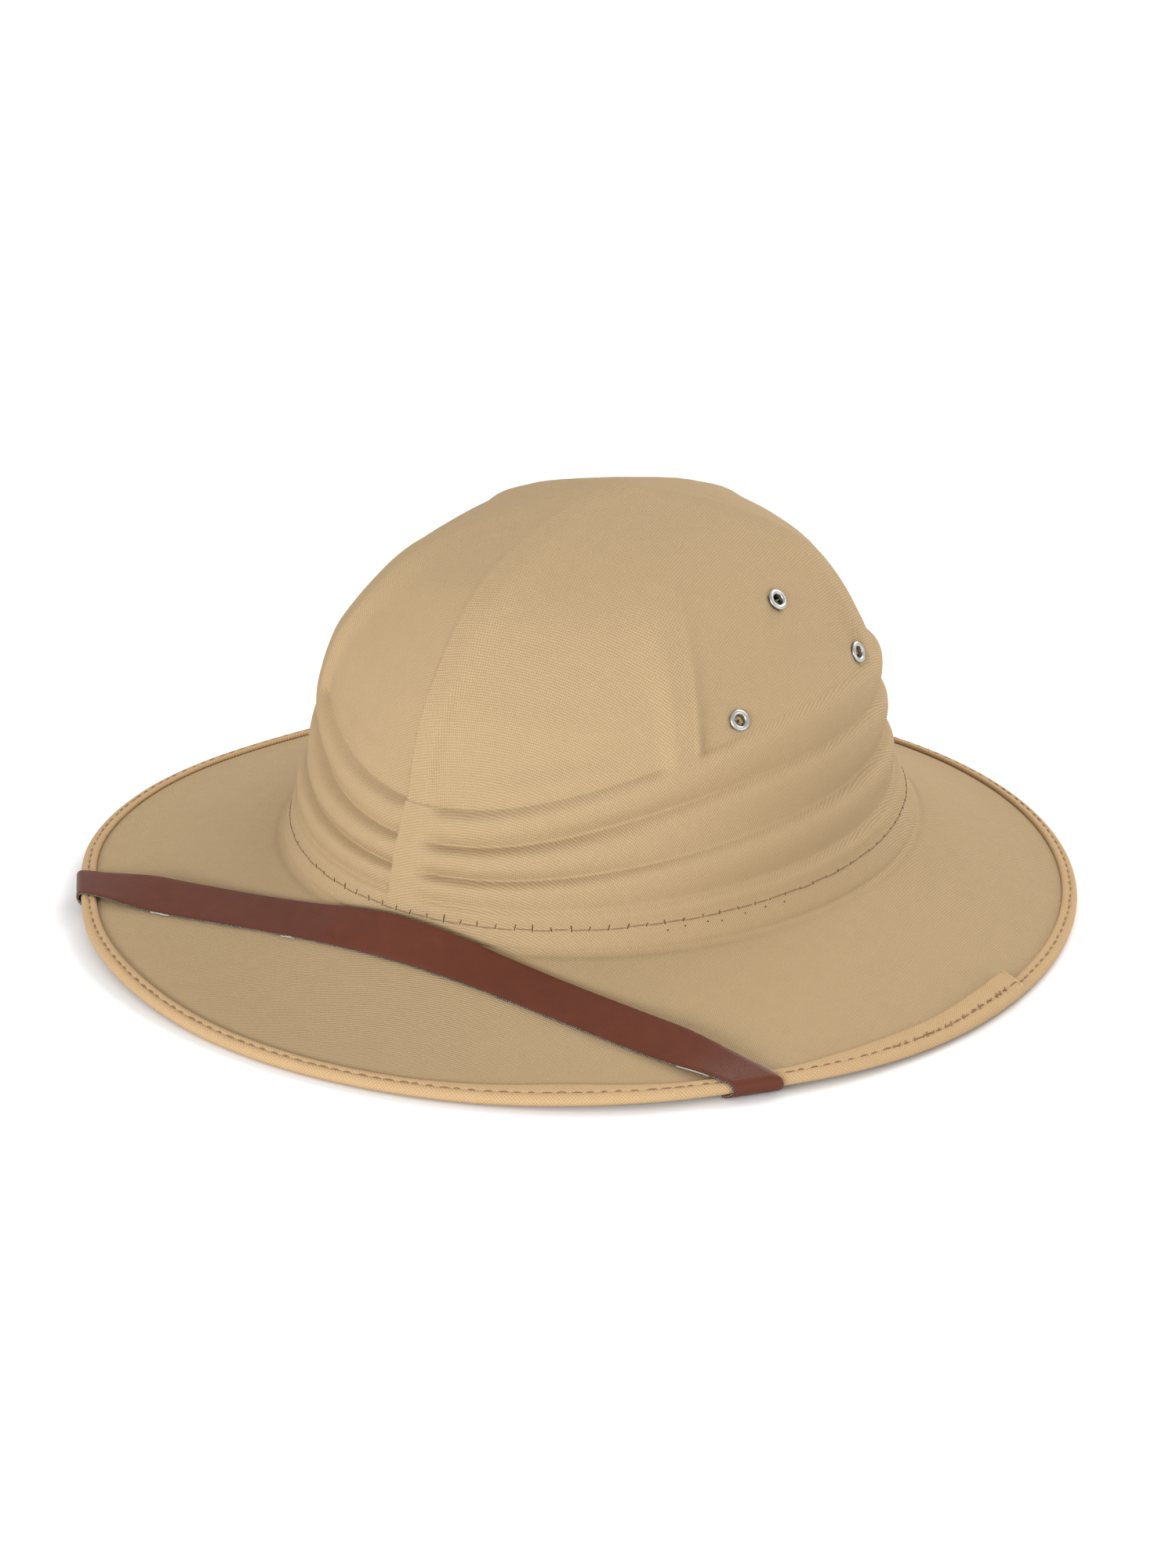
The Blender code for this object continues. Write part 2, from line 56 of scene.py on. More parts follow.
# Sizes that the hat's solids have too
crown_half_length = 108.0 * MM
crown_half_width = 99.2 * MM
crown_centre_y = 10.9 * MM
crown_height = 115.0 * MM
crown_top_y = 16.3 * MM
crown_top_spread = 0.06
crown_back_sag = 6.5 * MM
crown_side_tuck = 3.5 * MM
brim_half_width = 159.9 * MM
brim_front = 154.4 * MM
brim_back = 167.4 * MM
brim_drop = 21.8 * MM
brim_edge_lift = 4.2 * MM
brim_edge_pinch = 1.5 * MM
wall = 2.4 * MM
edge_wall = 1.6 * MM
tape_thickness = 1.0 * MM
tape_width = 8.0 * MM
tape_lap_rise = 0.8 * MM
clearance = 0.3 * MM
wall_taper_start = 0.23
rib_half_width = 4.4 * MM
rib_panel_share = 0.16
panel_depth = 2.0 * MM
panel_flat = 4.0 * MM
panel_toe = 0.16
panel_toe_lead = 0.25
fold_depth = 2.4 * MM
fold_lift = 0.5 * MM
fold_dip_sharpness = 2.4
strap_width = 14.6 * MM
strap_clearance = 0.5 * MM
strap_tape_ramp = 0.25
strap_front_y = 109.3 * MM
strap_sweep = 6.2 * MM
strap_tail = 9.0 * MM
strap_plan_end = 0.92
eyelet_radius = 3.5 * MM
eyelet_bore_radius = 1.85 * MM
eyelet_barrel_radius = 2.45 * MM
eyelet_flange = 0.6 * MM
eyelet_bow = 0.4 * MM
tape_lap_angle = 96.0
tape_lap_length = 15.0
strap_inner_angle = 56.5
strap_outer_angle = 50.5
strap_anchor_angle = 90.0
strap_pinch_angle = 9.0

# Shape of the strap, a little softer than that of its solid
strap_slack = 4.0 * MM
strap_plan_middle = 0.97
strap_flat_start = 0.74

# Sizes of the finish alone
rib_crest = 0.35 * MM
rib_crest_width = 0.8 * MM
sharp_shoulder = 3.0 * MM
front_toe = 11.0 * MM
side_toe = 2.5 * MM
rib_softening = 1.2
rib_soft_start = 0.55
rib_soft_span = 0.3
rib_fade = 0.4
seam_start = 0.5
seam_span = 0.4
groove_wander = 0.12
groove_start = 0.8
groove_span = 0.2
foot_fade = 0.05
top_fade = 0.1
dent_depth = 0.14 * MM
crease_dip = 0.3 * MM
crease_dip_reach = 0.05
tape_lip = 0.9 * MM
tape_channel_width = 0.42 * MM
tape_channel_depth = 0.32 * MM
tape_stitch_share = 0.86
tape_fullness = 1.12
tape_under_fullness = 0.93
tape_seat = 0.05 * MM
tape_edge_step = 0.35 * MM
eyelet_roll = 1.05
strap_corner = 0.14 * MM
vinyl_thickness = 0.55 * MM
backing_thickness = 0.42 * MM
backing_margin = 0.22 * MM
backing_wobble = 0.14 * MM
tall_tick_angle = 12.0
tall_tick_spread = 40.0
crossing_start = 72.0
crossing_count = 20

# Sizes of the studio
floor_size = 12.0
light_distance = 2.2
light_aim_height = 60.0 * MM

rim_thickness = edge_wall + 2.0 * (clearance + tape_thickness)
rest_height = rim_thickness / 2.0
crease_height = rest_height + brim_drop
brim_widest_y = (brim_front - brim_back) / 2.0

# Ribs: angle, half width, softness of the lower-angle and of the higher-angle shoulder, splits the folds
RIBS = (
    (-3.5, 3.0 * MM, 1.6 * MM, 4.8 * MM, 1.0),
    (52.0, 3.6 * MM, 6.5 * MM, 2.4 * MM, 0.0),
    (114.2, 3.8 * MM, 3.0 * MM, 4.5 * MM, 0.0),
    (180.0, 4.0 * MM, 4.0 * MM, 4.0 * MM, 1.0),
    (246.0, 3.8 * MM, 4.5 * MM, 3.0 * MM, 0.0),
    (308.0, 3.6 * MM, 2.6 * MM, 6.5 * MM, 0.0),
)

# Crown outline: share of its height over the crease, share of the crease oval
CROWN_OUTLINE = (
    (0.00, 1.000),
    (0.079, 0.982),
    (0.197, 0.957),
    (0.325, 0.910),
    (0.452, 0.885),
    (0.570, 0.841),
    (0.671, 0.771),
    (0.763, 0.690),
    (0.846, 0.589),
    (0.920, 0.402),
    (1.00, 0.000),
)

# Tuck of the sides over the brim: share of the crown's height, share of the tuck
TUCK_FORM = (
    (0.00, 0.0),
    (0.05, 0.5),
    (0.10, 1.0),
    (0.18, 1.50),
    (0.25, 1.50),
    (0.33, 0.95),
    (0.45, 1.0),
    (0.58, 0.9),
    (0.70, 0.4),
    (0.82, 0.0),
    (1.00, 0.0),
)

# Where the sides are tucked in: angle round the hat, share of the tuck
TUCK_PLACE = (
    (-180.0, 1.0),
    (-75.0, 0.8),
    (-45.0, 0.15),
    (-20.0, 0.0),
    (45.0, 0.0),
    (75.0, 0.3),
    (110.0, 0.9),
    (140.0, 1.0),
    (180.0, 1.0),
)

# Back of the top: share of the crown's height, share of the sag
SAG_FORM = (
    (0.60, 0.0),
    (0.75, 0.8),
    (0.85, 1.0),
    (0.92, 0.9),
    (0.96, 0.55),
    (1.00, 0.0),
)

# Where the top sags: angle round the hat, share of the sag
SAG_PLACE = (
    (-180.0, 0.85),
    (-114.0, 1.0),
    (-85.0, 0.9),
    (-55.0, 0.5),
    (-10.0, 0.0),
    (110.0, 0.0),
    (150.0, 0.5),
    (180.0, 0.85),
)

# Edge of the brim: angle round the hat, share of the lift
EDGE_FORM = (
    (-180.0, 0.00),
    (-112.0, 0.00),
    (-85.0, 0.65),
    (-60.0, 1.00),
    (-35.0, 0.55),
    (-8.0, 0.00),
    (20.0, 0.10),
    (42.0, 0.42),
    (60.0, 0.46),
    (80.0, 0.24),
    (100.0, 0.17),
    (140.0, 0.10),
    (180.0, 0.00),
)

# Width of the tape on top of the brim: angle round the hat, share of the widest
TAPE_FORM = (
    (-180.0, 0.36),
    (0.0, 0.34),
    (12.0, 0.36),
    (22.0, 0.50),
    (32.0, 0.66),
    (40.0, 0.50),
    (47.0, 0.36),
    (58.0, 0.38),
    (66.0, 0.65),
    (74.0, 0.84),
    (84.0, 0.93),
    (95.9, 1.00),
    (96.1, 0.38),
    (180.0, 0.36),
)

# Underside of the tape: share of its width in from the edge, share of its thickness
TAPE_UNDERSIDE = (
    (0.10, 0.90),
    (0.25, 0.60),
    (0.50, 0.93),
    (0.75, 0.93),
    (0.97, 0.80),
    (1.00, 0.40),
    (1.00, 0.00),
)

# Brim outline: share of the way out from the crease, share of the drop left to the edge
BRIM_OUTLINE = (
    (0.00, 1.000),
    (0.10, 0.865),
    (0.25, 0.680),
    (0.45, 0.450),
    (0.70, 0.210),
    (1.00, 0.000),
)

# Fold grooves, top to bottom: height at the sides as a share of the crown's height, dip at front, dip at back
FOLD_GROOVES = (
    (0.544, 0.212, 0.118),
    (0.411, 0.170, 0.089),
    (0.264, 0.106, 0.059),
    (0.138, 0.046, 0.020),
)

# Sunk panels: share of the crown's height, share of the depth beside the ribs, share of the flattening
PANEL_FORM = (
    (0.00, 1.0, 1.0),
    (0.50, 1.0, 1.0),
    (0.70, 0.7, 0.9),
    (0.85, 0.4, 0.55),
    (0.95, 0.1, 0.10),
    (1.00, 0.0, 0.0),
)

# One fold: share of the way down from its upper groove, share of its depth at the sides and at the front
FOLD_FORM = (
    (0.00, 0.00, 0.00),
    (0.05, 0.34, 0.18),
    (0.12, 0.72, 0.46),
    (0.20, 0.92, 0.72),
    (0.30, 1.00, 0.92),
    (0.42, 0.95, 1.00),
    (0.60, 0.76, 0.93),
    (0.76, 0.51, 0.68),
    (0.89, 0.25, 0.33),
    (0.96, 0.09, 0.11),
    (1.00, 0.00, 0.00),
)

# Folds round the hat: angle, share of the softer front form, share of the lowest groove's depth
FOLD_PLACE = (
    (-180.0, 0.0, 1.0),
    (-75.0, 0.0, 1.0),
    (-30.0, 1.0, 0.55),
    (30.0, 1.0, 0.45),
    (44.0, 0.7, 0.60),
    (75.0, 0.0, 1.0),
    (180.0, 0.0, 1.0),
)

# Depth of the grooves at the front, top to bottom, as a share of their depth at the sides
FRONT_GROOVES = (1.6, 1.45, 1.4, 1.2)

# Band under the folds: share of the way up from the crease to the last groove, share of the fold's depth
BAND_FORM = (
    (0.00, 0.00),
    (0.03, 0.07),
    (0.07, 0.13),
    (0.14, 0.15),
    (0.25, 0.10),
    (0.40, 0.02),
    (0.52, -0.07),
    (0.62, 0.00),
    (0.80, 0.10),
    (1.00, 0.00),
)
stitch_line_share = 0.52

# Eyelets of both side panels: name, angle, share of the crown's height, torn threads left in its bore
EYELETS = (
    ("eyelet_left_1", 64.5, 0.562, 32),
    ("eyelet_left_2", 88.2, 0.799, 5),
    ("eyelet_left_3", 108.6, 0.569, 14),
    ("eyelet_right_1", -64.5, 0.562, 12),
    ("eyelet_right_2", -92.0, 0.770, 5),
    ("eyelet_right_3", -108.6, 0.569, 9),
)

# Frays on the strap's front edge: start and end as shares of the way to the brim's edge, number of threads
FRAYS = (
    (-0.775, -0.705, 4),
    (-0.335, -0.285, 3),
    (0.855, 0.975, 5),
)

# Angles of the needle's stray holes under the crown's stitches, drawn as dark marks of painted shade
STRAY_HOLES = (48.0, 51.5, 55.0, 58.5, 63.0, 67.0, 71.0)

# Lights: name, setting that holds its power, width, height, azimuth, elevation
LIGHTS = (
    ("front light", "front_power", 1.8, 0.6, 4.0, 13.0),
    ("left light", "left_power", 1.2, 0.6, 96.0, 8.0),
    ("back light", "back_power", 1.8, 1.2, 172.0, 38.0),
)


def read(rows, share, column=1):
    """Read a column of a table at shares, along a cubic that never overshoots its rows."""
    table = np.array(rows, float)
    x = table[:, 0]
    y = table[:, column]
    step = np.diff(x)
    slope = np.diff(y) / step
    before = slope[:-1]
    after = slope[1:]
    tangent = np.zeros(len(x))
    alike = before * after > 0.0
    tangent[1:-1][alike] = (2.0 * before * after)[alike] / (before + after)[alike]
    tangent[0] = slope[0]
    tangent[-1] = slope[-1]
    share = np.clip(share, x[0], x[-1])
    i = np.clip(np.searchsorted(x, share, side="right") - 1, 0, len(x) - 2)
    t = (share - x[i]) / step[i]
    near = (1.0 + 2.0 * t) * (1.0 - t) ** 2 * y[i] + t * (1.0 - t) ** 2 * step[i] * tangent[i]
    far = t * t * (3.0 - 2.0 * t) * y[i + 1] + t * t * (t - 1.0) * step[i] * tangent[i + 1]
    return near + far


def ease(share):
    share = np.clip(share, 0.0, 1.0)
    return share * share * (3.0 - 2.0 * share)


def mix(a, b, share):
    return a + (b - a) * share


def turned(angle):
    """The same angle in degrees between -180 and 180."""
    return (angle / DEG + 180.0) % 360.0 - 180.0


def stack(x, y, z):
    return np.stack(np.broadcast_arrays(x, y, z), axis=-1)


def paired(angle, place):
    """Angles and places as arrays of one shape."""
    return np.broadcast_arrays(np.asarray(angle, float), np.asarray(place, float))


def unit(vectors):
    length = np.linalg.norm(vectors, axis=-1, keepdims=True)
    return vectors / np.maximum(length, 1e-12)


def brim_edge(angle, inset=0.0):
    """Top of the shell's edge at an angle, drawn in from the outermost line by an inset."""
    reach = np.where(np.cos(angle) > 0.0, brim_front, brim_back)
    strap_middle = (strap_inner_angle + strap_outer_angle) / 2.0
    off_strap = (np.abs(turned(angle)) - strap_middle) / strap_pinch_angle
    inset = inset + brim_edge_pinch * np.exp(-off_strap * off_strap)
    x = (brim_half_width - inset) * np.sin(angle)
    y = brim_widest_y - (reach - inset) * np.cos(angle)
    z = rest_height + brim_edge_lift * read(EDGE_FORM, turned(angle)) + edge_wall / 2.0
    return stack(x, y, z)


def crown_point(angle, height):
    """Outer surface of the crown without its relief, at a share of the crown's height over the crease."""
    tuck = crown_side_tuck * read(TUCK_FORM, height) * read(TUCK_PLACE, turned(angle))
    share = read(CROWN_OUTLINE, height) - tuck / crown_half_length
    x = crown_half_width * share * (1.0 + crown_top_spread * height) * np.sin(angle)
    y = mix(crown_centre_y, crown_top_y, height) - crown_half_length * share * np.cos(angle)
    sag = crown_back_sag * read(SAG_FORM, height) * read(SAG_PLACE, turned(angle))
    return stack(x, y, crease_height + crown_height * height - sag)


def brim_point(angle, out):
    """Top surface of the brim at a share of the way out from the crease."""
    edge = brim_edge(angle, tape_thickness + clearance)
    crease = crown_point(angle, 0.0 * np.asarray(out, float))
    point = crease + (edge - crease) * np.asarray(out, float)[..., None]
    point[..., 2] = mix(edge[..., 2], crease[..., 2], read(BRIM_OUTLINE, out))
    return point


def surface(angle, along):
    """Outer surface without relief: along runs 0 at the top, 1 at the crease, 2 at the brim's edge."""
    angle, along = paired(angle, along)
    crown = crown_point(angle, 1.0 - np.clip(along, 0.0, 1.0))
    brim = brim_point(angle, np.clip(along - 1.0, 0.0, 1.0))
    return np.where((along <= 1.0)[..., None], crown, brim)


def outward(angle, along, span=0.025, turn=0.01):
    """Outward direction, evened over a short span so that it turns smoothly at the crease."""
    angle, along = paired(angle, along)
    low = np.minimum(along + span, 2.0)
    high = np.maximum(along - span, 0.0)
    down = surface(angle, low) - surface(angle, high)
    round_hat = surface(angle + turn, along) - surface(angle - turn, along)
    normal = unit(np.cross(down, round_hat))
    return np.where((along <= 1e-6)[..., None], np.array((0.0, 0.0, 1.0)), normal)


def wander(angle, seed, waves=5):
    """Slow wave round the hat between about -1 and 1, always the same for a seed."""
    numbers = random.Random(seed)
    total = 0.0
    for wave in range(2, 2 + waves):
        total = total + math.sin(wave * 1.7 + seed) * np.sin(wave * angle + TAU * numbers.random())
    return total / math.sqrt(waves)


def groove_height(row, angle):
    """Height of a fold's groove over the crease, as a share of the crown's height."""
    side, front_dip, back_dip = FOLD_GROOVES[row]
    facing = np.cos(angle - RIBS[0][0] * DEG)
    dip = np.where(facing > 0.0, front_dip, back_dip)
    return side - dip * np.abs(facing) ** fold_dip_sharpness


def groove_depth(row, angle):
    """Depth of a fold's groove under the folds' crests."""
    place = turned(angle)
    front = mix(1.0, FRONT_GROOVES[row], read(FOLD_PLACE, place))
    if row == len(FOLD_GROOVES) - 1:
        front = front * read(FOLD_PLACE, place, 2)
    return fold_depth * (1.0 + groove_wander * wander(angle, 3 + row)) * front


def panel_place(angle, height):
    """Share off the ribs, of the folds' split and across the panel, and the sharp lines beside the ribs."""
    starts = np.array([rib[0] for rib in RIBS] + [RIBS[0][0] + 360.0])
    ribs = np.array(RIBS + RIBS[:1])
    degrees = (angle / DEG - starts[0]) % 360.0 + starts[0]
    index = np.clip(np.searchsorted(starts, degrees, side="right") - 1, 0, len(RIBS) - 1)
    low = np.moveaxis(ribs[index], -1, 0)
    high = np.moveaxis(ribs[index + 1], -1, 0)
    radius = read(CROWN_OUTLINE, height) * (crown_half_length + crown_half_width) / 2.0
    width = (starts[index + 1] - starts[index]) * DEG * radius
    across = (degrees - starts[index]) / (starts[index + 1] - starts[index])
    tight = np.maximum(np.minimum(1.0, rib_panel_share * width / rib_half_width), 0.05)
    past_low = across * width / tight - low[1]
    past_high = (1.0 - across) * width / tight - high[1]
    softer = 1.0 + rib_softening * ease((height - rib_soft_start) / rib_soft_span)
    off_ribs = ease(past_low / (low[3] * softer)) * ease(past_high / (high[2] * softer))
    split_low = low[4] * (1.0 - ease(past_low / (low[3] + rib_half_width)))
    split_high = high[4] * (1.0 - ease(past_high / (high[2] + MM)))
    margin = np.minimum(rib_half_width, rib_panel_share * width) / np.maximum(width, MM)
    inside = np.clip((across - margin) / (1.0 - 2.0 * margin), 0.0, 1.0)
    crest_low = np.exp(-(past_low / rib_crest_width) ** 2) * (low[3] < sharp_shoulder)
    crest_high = np.exp(-(past_high / rib_crest_width) ** 2) * (high[2] < sharp_shoulder)
    seam = crest_high * high[4]
    return off_ribs, np.maximum(split_low, split_high), inside, crest_low + crest_high, seam


def relief(angle, height):
    """Rise of the moulded surface over the plain crown at a share of the crown's height."""
    angle, height = paired(angle, height)
    off_ribs, split, inside, crest, seam = panel_place(angle, height)
    grooves = [groove_height(row, angle) for row in range(len(FOLD_GROOVES))]
    top = grooves[0]
    last = grooves[-1]
    depths = [groove_depth(row, angle) for row in range(len(FOLD_GROOVES))]
    soft = read(FOLD_PLACE, turned(angle))
    over_folds = ease((height - top) / panel_toe + panel_toe_lead)
    sunk = panel_depth * read(PANEL_FORM, height) * off_ribs
    sunk = sunk + panel_flat * read(PANEL_FORM, height, 2) * (1.0 - (2.0 * inside - 1.0) ** 2) * over_folds
    rise = rib_crest * crest * read(PANEL_FORM, height) - sunk
    for row in range(len(grooves) - 1):
        upper = grooves[row]
        lower = grooves[row + 1]
        share = np.clip((upper - height) / (upper - lower), 0.0, 1.0)
        form = mix(read(FOLD_FORM, share), read(FOLD_FORM, share, 2), soft)
        fold = fold_lift - mix(depths[row], depths[row + 1], ease(share)) * (1.0 - form)
        if row == 0:
            on_rib = (1.0 - off_ribs) * (1.0 - ease(share / rib_fade))
            fold = mix(fold, 0.0, on_rib)
        rise = np.where((height <= upper) & (height > lower), fold, rise)
    into_groove = ease((height / last - groove_start) / groove_span)
    band = fold_depth * read(BAND_FORM, height / last) + (fold_lift - depths[-1]) * into_groove
    rise = np.where(height <= last, band, rise)
    plain = fold_lift * ease(height / last)
    below = height < top
    line = rib_crest * seam * ease((height - seam_start * last) / (seam_span * last))
    rise = np.where(below, mix(rise, plain, split) + line, rise)
    toe = ease(1.0 - (height - top) * crown_height / mix(side_toe, front_toe, soft))
    seat = (fold_lift - depths[0]) * off_ribs * (1.0 - split)
    return np.where(below, rise, mix(rise, seat, toe * off_ribs))


def dents(angle, height):
    """Slight unevenness of the moulded cloth."""
    slow = wander(angle, 11) * np.sin(7.0 * height + 1.3) + wander(angle, 17) * np.cos(11.0 * height)
    return dent_depth * slow


def wall_at(along):
    """Thickness of the shell, which thins over the brim."""
    return mix(wall, edge_wall, ease((along - 1.0 - wall_taper_start) / (1.0 - wall_taper_start)))


def skin(angle, along, depth=0.0):
    """Point of the moulded surface, or a depth under it."""
    angle, along = paired(angle, along)
    height = np.clip(1.0 - along, 0.0, 1.0)
    fade = ease(height / foot_fade) * ease((1.0 - height) / top_fade)
    dip = np.clip((along - 1.0) / crease_dip_reach, 0.0, 1.0)
    brim = -crease_dip * 4.0 * dip * (1.0 - dip)
    rise = np.where(along < 1.0, relief(angle, height) + fade * dents(angle, height), brim)
    return surface(angle, along) + outward(angle, along) * (rise - depth)[..., None]


def tape_size(angle):
    """Width of the tape on top of the brim."""
    return tape_width * read(TAPE_FORM, turned(angle))


def tape_place(angle, inset=0.0, span=0.1):
    """Place on the brim at a distance from the tape's inner edge."""
    rim = 1.0 + 0.0 * np.asarray(angle)
    run = brim_point(angle, rim) - brim_point(angle, rim - span)
    return 2.0 - (tape_size(angle) - inset) / (np.linalg.norm(run, axis=-1) / span)


def work_on(*pieces):
    """Leave only these pieces selected, the first one active."""
    bpy.ops.object.select_all(action="DESELECT")
    for piece in pieces:
        piece.select_set(True)
    bpy.context.view_layer.objects.active = pieces[0]


def apply_modifier(piece, kind, **settings):
    work_on(piece)
    bpy.ops.object.modifier_add(type=kind)
    modifier = piece.modifiers[-1]
    for setting, value in settings.items():
        setattr(modifier, setting, value)
    bpy.ops.object.modifier_apply(modifier=modifier.name)


def grid_sheet(name, points, flat=None):
    """Grid primitive drawn onto rows of points, with the flat cloth's own coordinates as its UV map."""
    rows, columns = points.shape[:2]
    bpy.ops.mesh.primitive_grid_add(x_subdivisions=columns - 1, y_subdivisions=rows - 1, size=1.0)
    piece = bpy.context.object
    piece.name = name
    piece.data.name = name
    piece.data.vertices.foreach_set("co", np.ascontiguousarray(points, np.float32).ravel())
    if flat is not None:
        corners = np.zeros(len(piece.data.loops), np.int32)
        piece.data.loops.foreach_get("vertex_index", corners)
        piece.data.uv_layers[0].name = "weave"
        spread = np.ascontiguousarray(flat.reshape(-1, 2)[corners], np.float32)
        piece.data.uv_layers[0].data.foreach_set("uv", spread.ravel())
    return piece


def close_seams(piece, outside=True, distance=2e-6, fill=False):
    """Merge the rows that meet, fill open ends, point the faces outwards on a closed piece and smooth it."""
    work_on(piece)
    bpy.ops.object.mode_set(mode="EDIT")
    bpy.ops.mesh.select_all(action="SELECT")
    if distance:
        bpy.ops.mesh.remove_doubles(threshold=distance)
    if fill:
        bpy.ops.mesh.select_all(action="DESELECT")
        bpy.ops.mesh.select_non_manifold(extend=False)
        bpy.ops.mesh.fill_holes(sides=0)
        bpy.ops.mesh.select_all(action="SELECT")
    if outside:
        bpy.ops.mesh.normals_make_consistent(inside=False)
    bpy.ops.object.mode_set(mode="OBJECT")
    bpy.ops.object.shade_smooth()


def finish_piece(piece, material, node=None):
    piece.data.materials.clear()
    piece.data.materials.append(material)
    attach(piece, "root")
    if node:
        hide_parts(*node)
    return piece


def input_of(tree, socket, value):
    """Link a socket, or set it when the value is plain."""
    if isinstance(value, bpy.types.NodeSocket):
        tree.links.new(value, socket)
    else:
        socket.default_value = value


def calculate(tree, operation, first, second=0.5, third=0.5):
    node = tree.nodes.new("ShaderNodeMath")
    node.operation = operation
    for socket, value in zip(node.inputs, (first, second, third)):
        input_of(tree, socket, value)
    return node.outputs[0]


def scaled(tree, value, factor, offset):
    return calculate(tree, "MULTIPLY_ADD", value, factor, offset)


def ripple(tree, place, pitch):
    """Sine wave that repeats after a pitch."""
    return calculate(tree, "SINE", calculate(tree, "MULTIPLY", place, TAU / pitch))


def blend_colors(tree, share, first, second):
    node = tree.nodes.new("ShaderNodeMix")
    node.data_type = "RGBA"
    input_of(tree, node.inputs["Factor"], share)
    input_of(tree, node.inputs[6], (*first, 1.0) if isinstance(first, tuple) else first)
    input_of(tree, node.inputs[7], (*second, 1.0) if isinstance(second, tuple) else second)
    return node.outputs[2]


def noise(tree, where, size, detail=2.0):
    """Noise whose grains are about this many metres wide."""
    node = tree.nodes.new("ShaderNodeTexNoise")
    tree.links.new(where, node.inputs["Vector"])
    node.inputs["Scale"].default_value = 1.0 / size
    node.inputs["Detail"].default_value = detail
    return node.outputs["Fac"]


def uneven(tree, where, size, detail=2.0):
    """The same noise, about zero."""
    return calculate(tree, "SUBTRACT", noise(tree, where, size, detail), 0.5)


def toned(color, factor):
    """A darker or lighter colour."""
    return tuple(min(channel * factor, 1.0) for channel in color)


def bump(tree, height, distance, strength=1.0, below=None):
    node = tree.nodes.new("ShaderNodeBump")
    node.inputs["Distance"].default_value = distance
    node.inputs["Strength"].default_value = strength
    tree.links.new(height, node.inputs["Height"])
    if below is not None:
        tree.links.new(below, node.inputs["Normal"])
    return node.outputs["Normal"]


def start_material(name, color, roughness, metallic=0.0, specular=0.5):
    material = bpy.data.materials.new(name)
    material.use_nodes = True
    material.diffuse_color = (*color, 1.0)
    shader = material.node_tree.nodes["Principled BSDF"]
    shader.inputs["Base Color"].default_value = (*color, 1.0)
    shader.inputs["Roughness"].default_value = roughness
    shader.inputs["Metallic"].default_value = metallic
    shader.inputs["Specular IOR Level"].default_value = specular
    return material, material.node_tree, shader


def object_coords(tree):
    return tree.nodes.new("ShaderNodeTexCoord").outputs["Object"]


def flat_coords(tree, turn=0.0):
    """The flat cloth's two coordinates in metres, turned by an angle."""
    source = tree.nodes.new("ShaderNodeUVMap")
    source.uv_map = "weave"
    mapping = tree.nodes.new("ShaderNodeMapping")
    mapping.inputs["Rotation"].default_value = (0.0, 0.0, turn)
    tree.links.new(source.outputs["UV"], mapping.inputs["Vector"])
    separate = tree.nodes.new("ShaderNodeSeparateXYZ")
    tree.links.new(mapping.outputs["Vector"], separate.inputs[0])
    return separate.outputs


def woven_cloth(name, color, pitch, turn, contrast=0.18, depth=0.14 * MM):
    """Twill cloth: two families of threads that cross, slightly uneven yarn and a faint mottle."""
    material, tree, shader = start_material(name, color, 0.9, specular=0.12)
    where = object_coords(tree)
    flat = flat_coords(tree, turn)
    slub = uneven(tree, where, 1.8 * MM)
    across, down = (ripple(tree, scaled(tree, slub, 0.9 * pitch, flat[axis]), pitch) for axis in (0, 1))
    crossings = scaled(tree, calculate(tree, "MULTIPLY", across, down), -0.12, 0.5)
    yarn = scaled(tree, calculate(tree, "ADD", across, down), 0.24, crossings)
    shade = scaled(tree, uneven(tree, where, 5.0 * MM, 3.0), 0.22, yarn)
    blend = blend_colors(tree, shade, toned(color, 1.0 - contrast), toned(color, 1.0 + contrast))
    tree.links.new(blend, shader.inputs["Base Color"])
    fuzz = bump(tree, noise(tree, where, 0.35 * MM, 3.0), 0.04 * MM, 0.5)
    tree.links.new(bump(tree, yarn, depth, 1.0, fuzz), shader.inputs["Normal"])
    return material


def strap_vinyl(color):
    """Satin vinyl with a fine leather grain."""
    material, tree, shader = start_material("strap vinyl", color, 0.40, specular=0.30)
    where = object_coords(tree)
    grain = tree.nodes.new("ShaderNodeTexVoronoi")
    grain.inputs["Scale"].default_value = 1.0 / (0.5 * MM)
    tree.links.new(where, grain.inputs["Vector"])
    height = scaled(tree, noise(tree, where, 0.25 * MM, 4.0), 0.5, grain.outputs["Distance"])
    slack = bump(tree, noise(tree, where, 7.0 * MM), 0.25 * MM, 0.5)
    tree.links.new(bump(tree, height, 0.06 * MM, 0.55, slack), shader.inputs["Normal"])
    worn = scaled(tree, noise(tree, where, 14.0 * MM, 3.0), 0.22, 0.36)
    tree.links.new(worn, shader.inputs["Roughness"])
    blend = blend_colors(tree, noise(tree, where, 5.0 * MM, 4.0), toned(color, 0.82), toned(color, 1.18))
    tree.links.new(blend, shader.inputs["Base Color"])
    return material


def strap_backing(color, pitch=0.8 * MM):
    """Grey woven backing cloth, whose pale threads show as dots along its edge."""
    material, tree, shader = start_material("strap backing", color, 0.9, specular=0.2)
    jitter = uneven(tree, object_coords(tree), 0.9 * MM)
    dots = ripple(tree, scaled(tree, jitter, 0.9 * pitch, flat_coords(tree)[0]), pitch)
    share = scaled(tree, dots, 0.45, scaled(tree, jitter, 1.2, 0.45))
    tree.links.new(blend_colors(tree, share, color, toned(color, 6.0)), shader.inputs["Base Color"])
    tree.links.new(bump(tree, dots, 0.1 * MM, 0.8), shader.inputs["Normal"])
    return material


